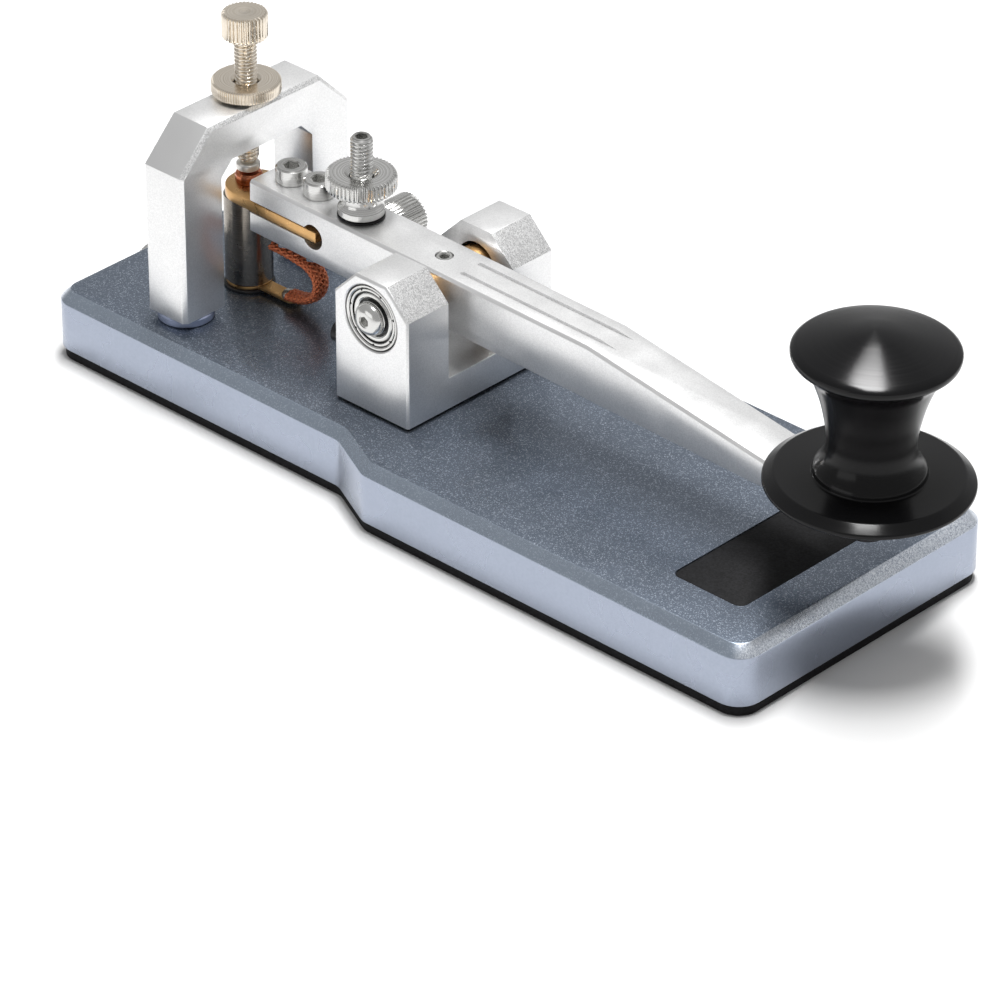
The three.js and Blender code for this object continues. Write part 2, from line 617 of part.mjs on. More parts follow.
function leafBody() {
  const z0 = SLOT.z - LEAF.thickness / 2;
  const z1 = SLOT.z + LEAF.thickness / 2;
  const strip = block(LEAF.roundX, LEAF.front, -LEAF.radius, LEAF.radius, z0, z1);
  return cut(
    join(strip, bar('z', LEAF.radius, z0, z1, [LEAF.roundX, 0])),
    bar('z', RIVET.shankRadius + FIT, z0 - 1, z1 + 1, [RIVET.x, 0], SMALL_ROUND),
    ...CLAMP_X.map((x) => bar('z', M3_RADIUS + FIT, z0 - 1, z1 + 1, [x, 0], SMALL_ROUND)),
  );
}

put(rocker, 'brass_leaf', leafBody(), brass);

const leafTop = SLOT.z + LEAF.thickness / 2;
const rivetTop = leafTop + RIVET.height;
put(rocker, 'contact_rivet', join(
  turned([
    [0, leafTop + GLUE], [RIVET.radius - 0.1, leafTop + GLUE], [RIVET.radius, leafTop + 0.4],
    [RIVET.radius, rivetTop - 0.4], [RIVET.radius - 0.4, rivetTop], [0, rivetTop],
  ]),
  bar('z', RIVET.shankRadius, leafTop - LEAF.thickness + 0.1, leafTop + 0.5, [0, 0], SMALL_ROUND),
).translate([RIVET.x, 0, 0]), copper);

// M3 cap screws through the split end, each with a nut below.
CLAMP_X.forEach((x, i) => {
  const seat = TOP + GLUE;
  const head = turned([
    [0, seat], [2.6, seat], [2.75, seat + 0.2], [2.75, seat + 2.7], [2.5, seat + 3], [0, seat + 3],
  ]);
  const shank = bar('z', M3_RADIUS, -TOP - 2.5, seat + 0.5, [0, 0], SMALL_ROUND);
  const screw = cut(join(head, shank), hexAlongZ(2.5, 0, 0, seat + 1.5, seat + 4));
  put(rocker, `leaf_screw_${i + 1}`, screw.translate([x, 0, 0]), brightSteel);
  const nut = cut(
    hexAlongZ(5.5, x, 0, -TOP - GLUE - 2.2, -TOP - GLUE),
    bar('z', M3_RADIUS + FIT, -TOP - 4, -TOP + 1, [x, 0], SMALL_ROUND),
  );
  put(rocker, `leaf_nut_${i + 1}`, nut, brightSteel);
});

put(rocker, 'pivot_set_screw', cut(
  bar('z', M3_RADIUS, AXLE.radius + FIT, TOP - 0.15, [0, 0], SMALL_ROUND),
  hexAlongZ(1.5, 0, 0, TOP - 1.2, TOP + 1),
), brightSteel);

// ---------------------------------------------------------------- magnetic tension adjuster

put(rocker, 'tension_screw', cut(
  turned([
    [0, ADJUST.bottom], [1.6, ADJUST.bottom], [THREAD_RADIUS, ADJUST.bottom + 0.4],
    [THREAD_RADIUS, ADJUST.top - 0.5], [1.5, ADJUST.top], [0, ADJUST.top],
  ], 16),
  hexAlongZ(2, 0, 0, ADJUST.top - 2, ADJUST.top + 1),
).translate([ADJUST.x, 0, 0]), brightSteel);

const magnetTop = ADJUST.bottom - GLUE;
put(rocker, 'tension_magnet', bar('z', ADJUST_MAGNET.radius, magnetTop - ADJUST_MAGNET.height, magnetTop,
  [ADJUST.x, 0], 16), brightSteel);

// A ring turned to a profile and bored for an M4 screw.
function bored(profile, x) {
  const heights = profile.map(([, height]) => height);
  const bore = bar('z', M4_RADIUS + FIT, Math.min(...heights) - 1, Math.max(...heights) + 1, [0, 0]);
  return cut(turned(profile), bore).translate([x, 0, 0]);
}

function washer(radius, seat, x) {
  return bored([[0, seat], [radius, seat], [radius, seat + WASHER_HEIGHT], [0, seat + WASHER_HEIGHT]], x);
}

const thumbSeat = TOP + GLUE;
put(rocker, 'thumb_washer', washer(4.1, thumbSeat, ADJUST.x), blackOxide);

const thumbFoot = thumbSeat + WASHER_HEIGHT + GLUE;
put(rocker, 'thumb_nut', bored([
  [0, thumbFoot], [3.9, thumbFoot], [4, thumbFoot + 0.2], [4, thumbFoot + 1.3], [3.4, thumbFoot + 1.8],
  [3.1, thumbFoot + 2.5], [3.1, thumbFoot + 3.4], [3.6, thumbFoot + 4.6], [5.8, thumbFoot + 4.7],
  [6.1, thumbFoot + 5], [6.1, thumbFoot + 7.4], [5.8, thumbFoot + 7.7], [2.9, thumbFoot + 7.7],
  [2.3, thumbFoot + 7],
  [0, thumbFoot + 7],
], ADJUST.x), brightSteel);

// ---------------------------------------------------------------- side clamp screw

const sideRim = SIDE.radius - SIDE.edge;
const sideFoot = SIDE.tip + 1 + GLUE;
put(rocker, 'clamp_tip', bar('y', SIDE.tipRadius, SIDE.tip, SIDE.tip + 1, [ADJUST.x, SIDE.z], SMALL_ROUND),
  brass);
put(rocker, 'side_screw', turnedAlongY([
  [0, sideFoot], [M3_RADIUS, sideFoot], [M3_RADIUS, SIDE.headStart], [sideRim, SIDE.headStart],
  [SIDE.radius, SIDE.headStart + SIDE.edge], [SIDE.radius, SIDE.headEnd - SIDE.edge],
  [sideRim, SIDE.headEnd], [0, SIDE.headEnd],
]).translate([ADJUST.x, 0, SIDE.z]), brightSteel);

// ---------------------------------------------------------------- contact screw, tip and lock nut

const rivetTopInDeck = PIVOT_HEIGHT - RIVET.x * Math.sin(LEVER_TILT) + rivetTop * Math.cos(LEVER_TILT);
const TIP = { bottom: rivetTopInDeck + CONTACT_GAP, radius: 2.05, height: 1.3 };
const tipTop = TIP.bottom + TIP.height;
put(deck, 'contact_tip', turned([
  [0, TIP.bottom], [TIP.radius - 0.3, TIP.bottom], [TIP.radius, TIP.bottom + 0.3],
  [TIP.radius, tipTop - 0.2], [TIP.radius - 0.3, tipTop], [0, tipTop],
]).translate([CONTACT_X, 0, 0]), whiteContact);

const shankFoot = tipTop + GLUE;
const headRim = HEAD.radius - HEAD.edge;
put(deck, 'contact_screw', turned([
  [0, shankFoot], [1.3, shankFoot], [THREAD_RADIUS, shankFoot + 1.2], [THREAD_RADIUS, HEAD.bottom],
  [headRim, HEAD.bottom], [HEAD.radius, HEAD.bottom + HEAD.edge], [HEAD.radius, HEAD.top - HEAD.edge],
  [headRim, HEAD.top], [0, HEAD.top],
]).translate([CONTACT_X, 0, 0]), warmNickel);

const lockSeat = BRIDGE.top + GLUE;
put(deck, 'lock_washer', washer(4.3, lockSeat, CONTACT_X), blackOxide);
const lockFoot = lockSeat + WASHER_HEIGHT + GLUE;
put(deck, 'lock_nut', bored([
  [0, lockFoot], [5.7, lockFoot], [6, lockFoot + 0.3], [6, lockFoot + 2.1], [5.7, lockFoot + 2.4],
  [2.6, lockFoot + 2.4], [2.1, lockFoot + 1.9], [0, lockFoot + 1.9],
], CONTACT_X), warmNickel);

// ---------------------------------------------------------------- knob

// A domed head on a waisted neck over a wide finger skirt, turned in one piece.
function knobProfile() {
  const dome = [];
  const domeBase = KNOB.top - KNOB.domeHeight;
  const domeSteps = 6;
  for (let i = 0; i < domeSteps; i += 1) {
    const angle = (i / domeSteps) * Math.PI / 2;
    dome.push([KNOB.headRadius * Math.cos(angle), domeBase + KNOB.domeHeight * Math.sin(angle)]);
  }
  dome.push([0, KNOB.top]);
  return [
    [0, LEVER.landHeight + GLUE], [6.2, LEVER.landHeight + GLUE], [6.2, KNOB.bottom + 0.3],
    [16.6, KNOB.bottom],
    [KNOB.skirtRadius, KNOB.bottom + 0.4], [KNOB.skirtRadius, KNOB.bottom + 1], [15.3, KNOB.bottom + 2.2],
    [9.4, KNOB.bottom + 2.4], [9.1, KNOB.bottom + 3.4], [8, KNOB.bottom + 4.2], [7.4, KNOB.bottom + 5.2],
    [7.2, KNOB.bottom + 7], [7.5, KNOB.bottom + 11], [8.6, KNOB.bottom + 16], [10.6, KNOB.bottom + 21],
    [12.8, KNOB.bottom + 22.9], [13.4, KNOB.bottom + 23.4],
    ...dome,
  ];
}

const KNOB_TAP = KNOB.bottom + 12;
const knobBore = screwHole(0, 0, -5, KNOB_TAP);
put(rocker, 'knob', cut(turned(knobProfile(), 32), knobBore).translate([KNOB.x, 0, 0]), blackPolish);

put(rocker, 'knob_screw', cut(
  join(
    bar('z', M4_RADIUS, -TOP - 1, KNOB_TAP - 1, [KNOB.x, 0], SMALL_ROUND),
    bar('z', SCREW_HEAD.radius, -TOP - 2.4, -TOP - GLUE, [KNOB.x, 0], 16),
  ),
  hexAlongZ(SCREW_HEAD.socket, KNOB.x, 0, -TOP - 4, -TOP - 1.2),
), blackOxide);

// ---------------------------------------------------------------- jack socket and its wires

const jackAt = [0, JACK.z];
const jackEnd = JACK.wall + JACK.bodyLength;
put(deck, 'jack_socket', cut(
  join(
    bar('x', JACK.barrelRadius, -JACK.reach, JACK.wall + 0.5, jackAt),
    bar('x', JACK.bodyRadius, JACK.wall + GLUE, jackEnd, jackAt),
  ),
  bar('x', JACK.boreRadius, -JACK.reach - 1, jackEnd - 2, jackAt),
), blackPlastic);
put(deck, 'jack_nut', cut(
  bar('x', JACK.nutRadius, -GLUE - JACK.nutLength, -GLUE, jackAt),
  bar('x', JACK.barrelRadius + FIT, -JACK.reach - 2, 1, jackAt),
), brightSteel);

// Each wire is a square-cornered run in the channel under the base.
const WIRE = { half: 0.5, y: 0.9, z: -BASE.thickness + 1.2, start: jackEnd + 0.8 };
function wire(name, points, material) {
  const runs = points.slice(1).map(([x, y], i) => {
    const [px, py] = points[i];
    return block(Math.min(px, x) - WIRE.half, Math.max(px, x) + WIRE.half,
      Math.min(py, y) - WIRE.half, Math.max(py, y) + WIRE.half, WIRE.z - WIRE.half, WIRE.z + WIRE.half);
  });
  put(deck, name, join(...runs), material);
}
const bendX = POST.x - SCREW_HEAD.radius - 1.4;
wire('wire_post', [[WIRE.start, -WIRE.y], [bendX + 0.7, -WIRE.y]], redSleeve);
wire('wire_bridge', [[WIRE.start, WIRE.y], [bendX, WIRE.y], [bendX, BRIDGE_SCREWS_Y[1] - 4]], blackPlastic);

// ---------------------------------------------------------------- stand the model on the origin

key.updateMatrixWorld(true);
const footprint = new THREE.Box3().setFromObject(key, true);
key.position.set(-(footprint.min.x + footprint.max.x) / 2, 0, -footprint.min.z);

export default key;
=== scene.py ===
# %% [markdown]
# # A straight morse key, finished piece by piece
# A straight key is a lever in ball bearings: the knob goes down, the rear end goes up, and a copper
# rivet meets a silver tip. The fixed frame of the key comes in first. Every piece made below takes its
# place and its size from that frame, so nothing has to be fitted afterwards.

# %% Load the frame
import json
import math
import bpy
from mathutils import Matrix, Vector


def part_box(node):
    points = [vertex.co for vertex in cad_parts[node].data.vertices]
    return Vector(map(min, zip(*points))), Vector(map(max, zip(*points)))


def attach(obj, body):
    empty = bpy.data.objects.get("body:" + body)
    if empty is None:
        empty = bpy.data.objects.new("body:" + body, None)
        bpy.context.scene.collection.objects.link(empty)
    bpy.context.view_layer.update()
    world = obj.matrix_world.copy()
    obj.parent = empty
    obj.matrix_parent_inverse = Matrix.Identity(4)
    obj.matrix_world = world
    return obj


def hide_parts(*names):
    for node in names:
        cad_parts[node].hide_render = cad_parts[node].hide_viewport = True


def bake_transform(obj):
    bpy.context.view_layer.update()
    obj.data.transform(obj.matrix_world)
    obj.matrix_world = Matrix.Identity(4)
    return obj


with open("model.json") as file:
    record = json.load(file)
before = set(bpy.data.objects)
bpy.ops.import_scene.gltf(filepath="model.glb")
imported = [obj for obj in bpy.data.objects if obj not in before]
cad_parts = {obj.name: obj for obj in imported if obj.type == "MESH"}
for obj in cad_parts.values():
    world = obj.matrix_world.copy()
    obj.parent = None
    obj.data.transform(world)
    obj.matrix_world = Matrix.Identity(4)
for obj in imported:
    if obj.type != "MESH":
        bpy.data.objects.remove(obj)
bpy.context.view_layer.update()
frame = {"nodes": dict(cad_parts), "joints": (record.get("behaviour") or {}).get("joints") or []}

# %% [markdown]
# Workshop drawings give millimetres from a datum. The datum here is the base's top face, at the middle
# of its rear edge, and `at` turns a drawing's numbers into a place in the scene. The lever is drawn
# level about its axle, then tipped by the small angle that it rests at, so it has a datum of its own.
# The angle is read from the axis of the tension screw, which stands square to the lever.

# %% The datum of the base and the datum of the lever
MM = 0.001
base_low, base_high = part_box("base_plate")
joints = {joint["name"]: joint for joint in frame["joints"]}
pivot = Vector(joints["lever_pivot"]["pos_m"])
lean = Vector(joints["tension_turn"]["axis"])
TILT = math.atan2(lean.x, lean.z)


def at(x, y, z):
    """A place given in millimetres from the datum on the base."""
    return Vector((base_low.x, 0, base_high.z)) + Vector((x, y, z)) * MM


def on_lever(x, y, z):
    """A place in millimetres from the axle, with the lever drawn level."""
    return pivot + Vector((x, y, z)) * MM


print("lever rests at", round(math.degrees(TILT), 2), "degrees")

# %% [markdown]
# An operator acts on all that is selected, and the frame's pieces arrive selected. These helpers keep
# one piece selected at a time and pick points, edges and faces by where they are.

# %% Selecting
def only(piece):
    """Selects one piece and nothing else."""
    if bpy.context.object and bpy.context.object.mode != "OBJECT":
        bpy.ops.object.mode_set(mode="OBJECT")
    bpy.ops.object.select_all(action="DESELECT")
    piece.select_set(True)
    bpy.context.view_layer.objects.active = piece


def edit(piece, kind="VERT", wanted=None):
    """Opens a piece in edit mode with only the wanted points, edges or faces selected."""
    only(piece)
    bpy.ops.object.mode_set(mode="EDIT")
    bpy.ops.mesh.select_mode(type=kind)
    bpy.ops.mesh.select_all(action="SELECT" if wanted is None else "DESELECT")
    if wanted is None:
        return
    bpy.ops.object.mode_set(mode="OBJECT")
    mesh = piece.data
    for part in {"VERT": mesh.vertices, "EDGE": mesh.edges, "FACE": mesh.polygons}[kind]:
        part.select = bool(wanted(part))
    bpy.ops.object.mode_set(mode="EDIT")


def done():
    bpy.ops.object.mode_set(mode="OBJECT")


# %% [markdown]
# Most of the key is milled from bar. A milled piece starts as a block of stock at its real size.
# Corners are sawn off with a bisect plane that closes the cut, holes and slots are taken out with a
# boolean, and the sharp edges that are left are broken with a narrow bevel. Real edges always catch
# the light, and this last step is what shows it.

# %% Milling: stock, saw cuts, holes and broken edges
def stock(name, low, high):
    """A block between two corners."""
    bpy.ops.object.select_all(action="DESELECT")
    bpy.ops.mesh.primitive_cube_add(size=1, location=(low + high) / 2, scale=high - low)
    piece = bpy.context.object
    piece.name = name
    bpy.ops.object.transform_apply(location=True, rotation=True, scale=True)
    return piece


def drill(place, radius, length, axis="Z", sides=64, head=None):
    """A round cutter of a radius and a length in millimetres, centred on a place."""
    bpy.ops.object.select_all(action="DESELECT")
    turn = {"X": (0, math.pi / 2, 0), "Y": (math.pi / 2, 0, 0), "Z": (0, 0, 0)}[axis]
    bpy.ops.mesh.primitive_cone_add(vertices=sides, radius1=radius * MM, radius2=(head or radius) * MM,
                                    depth=length * MM, location=place, rotation=turn)
    cutter = bpy.context.object
    bpy.ops.object.transform_apply(location=True, rotation=True, scale=True)
    return cutter


def saw(piece, place, normal):
    """Cuts off all that lies beyond a plane and closes the cut."""
    edit(piece)
    bpy.ops.mesh.bisect(plane_co=place, plane_no=normal, use_fill=True, clear_outer=True)
    done()
    return piece


def use(piece, kind, **settings):
    """Adds a modifier and applies it."""
    only(piece)
    modifier = piece.modifiers.new(kind.title(), kind)
    for key, value in settings.items():
        setattr(modifier, key, value)
    bpy.ops.object.modifier_apply(modifier=modifier.name)
    return piece


def carve(piece, *cutters, operation="DIFFERENCE"):
    """Takes the cutters out of a piece, or with UNION joins them to it."""
    for cutter in cutters:
        use(piece, "BOOLEAN", operation=operation, object=cutter, solver="EXACT")
        bpy.data.objects.remove(cutter)
    return piece


def ends_of(piece, edge):
    return [piece.data.vertices[i].co for i in edge.vertices]


def break_edges(piece, width, segments=2, wanted=None, sharper_than=25, shortest=0.0):
    """Bevels the sharp edges by a width in millimetres, or only the wanted ones of them."""
    only(piece)
    mesh = piece.data
    faces = {}
    for face in mesh.polygons:
        for key in face.edge_keys:
            faces.setdefault(key, []).append(face.normal)
    weights = mesh.attributes.new("bevel_weight_edge", "FLOAT", "EDGE")
    for edge in mesh.edges:
        sides = faces.get(tuple(sorted(edge.vertices)), [])
        a, b = ends_of(piece, edge)
        sharp = len(sides) == 2 and sides[0].angle(sides[1], 0) > math.radians(sharper_than)
        long_enough = (a - b).length > shortest * MM
        weights.data[edge.index].value = float(sharp and long_enough and (wanted is None or wanted(a, b)))
    use(piece, "BEVEL", width=width * MM, segments=segments, limit_method="WEIGHT",
        use_clamp_overlap=False, harden_normals=False)
    mesh = piece.data
    if mesh.attributes.get("bevel_weight_edge"):
        mesh.attributes.remove(mesh.attributes["bevel_weight_edge"])
    return piece


def draw_forwards(piece, length):
    """Extrudes the front face of a bar and leaves the new face open for editing."""
    edit(piece, "FACE", lambda face: face.normal.x > 0.9)
    bpy.ops.mesh.extrude_region_move(TRANSFORM_OT_translate={"value": (length * MM, 0, 0)})


def is_upright(piece, edge, slack=0.01):
    """True for an edge that leans less than the slack, in millimetres."""
    a, b = ends_of(piece, edge)
    return (a.xy - b.xy).length < slack * MM


def round_end(piece, at_end, radius, segments):
    """Rounds the upright edges at one end of a flat piece."""
    edit(piece, "EDGE", lambda e: is_upright(piece, e) and all(at_end(p) for p in ends_of(piece, e)))
    bpy.ops.mesh.bevel(offset=radius * MM, segments=segments, affect="EDGES")
    done()


def tidy(piece):
    """Merges doubled points and turns every face outwards."""
    edit(piece)
    bpy.ops.mesh.remove_doubles(threshold=0.0005 * MM)
    bpy.ops.mesh.normals_make_consistent(inside=False)
    done()
    return piece


# %% [markdown]
# Screws, nuts, posts and the knob are turned on a lathe. The same is done here: one point is drawn out
# along a profile of radii and heights, and the profile is spun round its axis. A knurled rim starts as
# a smooth one, and a straight knurling wheel then presses every other strip of it inwards.

# %% Turning and knurling
AXES = {"Z": (Vector((1, 0, 0)), Vector((0, 0, 1))), "Y": (Vector((1, 0, 0)), Vector((0, 1, 0))),
        "X": (Vector((0, 1, 0)), Vector((1, 0, 0)))}


def turned(name, foot, profile, axis="Z", sides=64):
    """Spins (radius, height) pairs, in millimetres, round an axis through foot."""
    out, up = AXES[axis]
    points = [foot + (out * radius + up * height) * MM for radius, height in profile]
    bpy.ops.object.select_all(action="DESELECT")
    bpy.ops.mesh.primitive_plane_add(size=MM, location=points[0])
    piece = bpy.context.object
    piece.name = name
    bpy.ops.object.transform_apply(location=True, rotation=True, scale=True)
    bpy.ops.object.mode_set(mode="EDIT")
    bpy.ops.mesh.select_mode(type="VERT")
    bpy.ops.mesh.select_all(action="SELECT")
    bpy.ops.mesh.merge(type="CENTER")
    for before, after in zip(points, points[1:]):
        bpy.ops.mesh.extrude_vertices_move(TRANSFORM_OT_translate={"value": after - before})
    bpy.ops.mesh.select_all(action="SELECT")
    bpy.ops.mesh.spin(steps=sides, angle=2 * math.pi, center=foot, axis=up)
    done()
    return tidy(piece)


def ring(inner, outer, low, high, edge=0.08):
    """The profile of a ring with broken edges."""
    return [(inner, low), (outer - edge, low), (outer, low + edge), (outer, high - edge),
            (outer - edge, high), (inner + edge, high), (inner, high - edge), (inner, low)]


def knurl(piece, foot, rim, depth, ridges, axis="Z"):
    """Presses straight grooves into the outermost strip of a turned piece made with 4 sides a ridge."""
    out, up = AXES[axis]
    aside = up.cross(out)

    def in_groove(point):
        arm = point.co - foot
        if (arm - up * arm.dot(up)).length < (rim - 0.45) * MM:
            return False
        turn = math.atan2(arm.dot(aside), arm.dot(out)) / (2 * math.pi) % 1
        return int(turn * 4 * ridges + 0.5) % 4 >= 2

    edit(piece, "VERT", in_groove)
    shrink = 1 - depth / rim
    bpy.ops.transform.resize(value=[1 if abs(part) > 0.5 else shrink for part in up], center_override=foot)
    done()
    return piece


# %% [markdown]
# A screw thread is a helix, and it shows at both adjusting screws. Each thread is a turned bar with
# many rings: a point's radius then follows where it is along the pitch, shifted by its own turn. The
# bar stays one closed skin, which a coiled wire laid round a core would not.

# %% Cutting a thread
THREAD = {"pitch": 0.7, "depth": 0.36, "rings": 8, "sides": 32, "flank": 2.6, "lead_in": 0.5}


def threaded(name, foot, radius, low, high, taper):
    """A bar along Z with a helical thread between two heights, with a chamfer or a cone at each end."""
    pitch, depth = THREAD["pitch"], THREAD["depth"]
    count = int((high - low) / pitch * THREAD["rings"])
    heights = [low + (high - low) * i / count for i in range(count + 1)]
    profile = [(0, low)] + [(radius, h) for h in heights] + [(0, high)]
    piece = turned(name, foot, profile, sides=THREAD["sides"])
    for point in piece.data.vertices:
        arm = (point.co - foot) / MM
        reach = math.hypot(arm.x, arm.y)
        if reach < radius / 2:
            continue
        phase = (arm.z / pitch - math.atan2(arm.y, arm.x) / (2 * math.pi)) % 1
        groove = depth * max(0.0, 1 - abs(phase - 0.5) * THREAD["flank"])
        lead_in = max(0.0, THREAD["lead_in"] - (high - arm.z)) + max(0.0, taper - (arm.z - low)) * 0.55
        new = radius - max(groove, lead_in)
        point.co.x = foot.x + arm.x / reach * new * MM
        point.co.y = foot.y + arm.y / reach * new * MM
    return tidy(piece)


# %% [markdown]
# The last steps are the same for each piece: faces that meet at a gentle angle are shaded as one
# surface, pieces on the lever are tipped with it, the piece gets its material, it is tied to the body
# that carries it, and the plain solid that it stands for is hidden.

# %% Finishing a piece
materials = {}


def smooth(piece, angle):
    only(piece)
    bpy.ops.object.shade_smooth_by_angle(angle=math.radians(angle))


def tip_with_lever(piece):
    """Tips a piece that was drawn on the level lever to the angle the lever rests at."""
    only(piece)
    piece.matrix_world = (Matrix.Translation(pivot) @ Matrix.Rotation(TILT, 4, "Y")
                          @ Matrix.Translation(-pivot)) @ piece.matrix_world
    bpy.ops.object.transform_apply(location=True, rotation=True, scale=True)


ON_LEVER = {"lever_assembly", "tension_feed_body", "tension_screw_body", "thumb_washer_body",
            "thumb_nut_body", "side_tip_body", "side_screw_body"}


def finish(piece, body, slot, *nodes, angle=32):
    """Shades, tips, paints and hangs a piece on its body, in place of the frame's own nodes."""
    smooth(piece, angle)
    if body in ON_LEVER:
        tip_with_lever(piece)
    piece.data.name = piece.name
    piece.data.materials.clear()
    piece.data.materials.append(materials[slot])
    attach(piece, body)
    if nodes:
        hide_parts(*nodes)
    print(piece.name, "has", len(piece.data.polygons), "faces")
    return piece


# %% [markdown]
# The camera comes before the making. It is a long lens a little over a metre away, which keeps the
# base's long edges almost parallel. It looks down from the front and the side at once, and that shows
# the knob, the lever and the contacts together.

# %% Camera
VIEW = {"azimuth": 43.513, "elevation": 31.524, "lens": 222.63, "place": (605.4, -644.2, 538.7)}


def in_studio(name, data, place, looking):
    """Stands a camera or a light at a place in millimetres, looking along a direction."""
    made = bpy.data.objects.new(name, data)
    made.location = Vector(place) * MM
    made.rotation_mode = "QUATERNION"
    made.rotation_quaternion = looking.to_track_quat("-Z", "Y")
    bpy.context.scene.collection.objects.link(made)
    return made


def place_camera():
    azimuth, elevation = math.radians(VIEW["azimuth"]), math.radians(VIEW["elevation"])
    back = Vector((math.sin(azimuth) * math.cos(elevation), -math.cos(azimuth) * math.cos(elevation),
                   math.sin(elevation)))
    data = bpy.data.cameras.new("camera")
    data.lens, data.sensor_width = VIEW["lens"], 36
    data.clip_start, data.clip_end = 0.05, 20
    bpy.context.scene.camera = in_studio("camera", data, VIEW["place"], -back)


place_camera()
bpy.context.scene.view_settings.view_transform = "Standard"

# %% [markdown]
# Bare metal shows its surroundings more than its own colour, so the studio is part of the finish. The
# upright faces mirror the pale floor and come out nearly white. The tops mirror the room above it, which
# is a little darker. One small bright light overhead draws the highlight on the knob, and two weak
# wide ones, at the back and on the left, lift the tops and the near faces.

# %% Studio: floor, world and soft lights
def soft_light(name, place, size, watts, aim=(0, 0, 20)):
    data = bpy.data.lights.new(name, "AREA")
    data.shape, data.size, data.size_y, data.energy = "RECTANGLE", size[0], size[1], watts
    in_studio(name, data, place, (Vector(aim) - Vector(place)) * MM)


soft_light("overhead", (-8, 82, 900), (0.2, 0.6), 15, (70, 0, 40))
soft_light("back_wall", (-50, 1100, 760), (2.4, 0.8), 0.6)
soft_light("left_window", (-200, -1100, 300), (0.9, 0.5), 1.4)

world = bpy.data.worlds.new("studio")
world.use_nodes = True
world.node_tree.nodes["Background"].inputs["Color"].default_value = (1, 1, 1, 1)
world.node_tree.nodes["Background"].inputs["Strength"].default_value = 0.5
bpy.context.scene.world = world

bpy.ops.object.select_all(action="DESELECT")
bpy.ops.mesh.primitive_plane_add(size=6, location=(0, 0, -0.00005))
floor = bpy.context.object
floor.name = "floor"
paper = bpy.data.materials.new("studio_paper")
paper.use_nodes = True
paper.node_tree.nodes["Principled BSDF"].inputs["Base Color"].default_value = (0.63, 0.63, 0.63, 1)
paper.node_tree.nodes["Principled BSDF"].inputs["Roughness"].default_value = 0.9
floor.data.materials.append(paper)

# %% [markdown]
# A finish is a stack of small facts: the metal's own colour, how wide its reflections are, and the
# relief that its last tool left. The helpers here add a shader node with its values or links in one
# line. A number that is the same all over is set on the shader's own socket, so that it survives export.

# %% Building a material
def colour(code):
    """A colour code as drawn on screen, turned into the linear values that the shader wants."""
    parts = [int(code[i:i + 2], 16) / 255 for i in (1, 3, 5)]
    return (*[part / 12.92 if part <= 0.04045 else ((part + 0.055) / 1.055) ** 2.4 for part in parts], 1)


def material(name, base, metallic, roughness, **more):
    """A new material with constant values; returns its node tree and its shader."""
    made = bpy.data.materials.new(name)
    made.use_nodes = True
    shader = made.node_tree.nodes["Principled BSDF"]
    values = {"Base Color": colour(base), "Metallic": metallic, "Roughness": roughness}
    for key, value in {**values, **{k.replace("_", " "): v for k, v in more.items()}}.items():
        shader.inputs[key].default_value = value
    materials[name] = made
    return made.node_tree, shader


def add(tree, kind, settings=None, **inputs):
    """A shader node; each input is a value or another node's output."""
    made = tree.nodes.new("ShaderNode" + kind)
    for key, value in (settings or {}).items():
        setattr(made, key, value)
    for key, value in inputs.items():
        socket = made.inputs[int(key[1:]) if key[1:].isdigit() else key.replace("_", " ")]
        if isinstance(value, bpy.types.NodeSocket):
            tree.links.new(value, socket)
        else:
            socket.default_value = value
    return made


def place_of(tree):
    """Where a point is on its object, in millimetres."""
    texture = add(tree, "TexCoord")
    return add(tree, "VectorMath", {"operation": "SCALE"}, Vector=texture.outputs["Object"], Scale=1000.0)


def speckle(tree, size):
    """A random value for each grain of a size in millimetres."""
    cells = add(tree, "TexVoronoi", Vector=place_of(tree).outputs[0], Scale=1 / size)
    return add(tree, "SeparateColor", Color=cells.outputs["Color"]).outputs[0]


def cloud(tree, size, detail=2.0):
    """A smooth random value that changes over a size in millimetres."""
    return add(tree, "TexNoise", Vector=place_of(tree).outputs[0], Scale=1 / size,
               Detail=detail).outputs["Fac"]


def remap(tree, value, low, high, start=0.0, stop=1.0):
    return add(tree, "MapRange", {"clamp": True}, Value=value, **{
        "From_Min": start, "From_Max": stop, "To_Min": low, "To_Max": high}).outputs[0]


def blend_colours(tree, factor, first, second):
    """One colour where the factor is 0, the other where it is 1."""
    return add(tree, "Mix", {"data_type": "RGBA"}, _0=factor, _6=first, _7=second).outputs[2]


def relief(tree, shader, height, depth, **below):
    """Bump of a depth in millimetres, laid over the Normal of any relief below it."""
    bump = add(tree, "Bump", Height=height, Distance=depth * MM, Strength=1.0, **below)
    tree.links.new(bump.outputs["Normal"], shader.inputs["Normal"])
    return bump.outputs["Normal"]


def to_shader(tree, shader, socket, value):
    tree.links.new(value, shader.inputs[socket])


# %% [markdown]
# Blasted aluminium is struck by fine glass beads, which leaves a skin of tiny dents. From far away it
# looks soft and grey; close up it sparkles, because each dent faces its own way, and that sparkle is
# painted into the colour as light and dark specks, painted glints. The slopes at the front and the back
# show a coarser grain of painted glints, and those at the sides are smooth and painted a little greyer,
# as painted shade. The facing of the surface tells them apart, because a slope is neither level nor upright.

# %% Blasted aluminium
FORTH, ASIDE, UP = 0, 1, 2


def facing(tree):
    return add(tree, "SeparateXYZ", Vector=add(tree, "TexCoord").outputs["Normal"]).outputs


def sloping(tree, way):
    """1 on a face that slopes down that way, in either direction, and 0 on a level face or a wall."""
    parts = facing(tree)
    both = add(tree, "Math", {"operation": "MULTIPLY"}, _0=parts[way], _1=parts[UP])
    size = add(tree, "Math", {"operation": "ABSOLUTE"}, _0=both.outputs[0])
    return remap(tree, size.outputs[0], 0, 1, 0.2, 0.4)


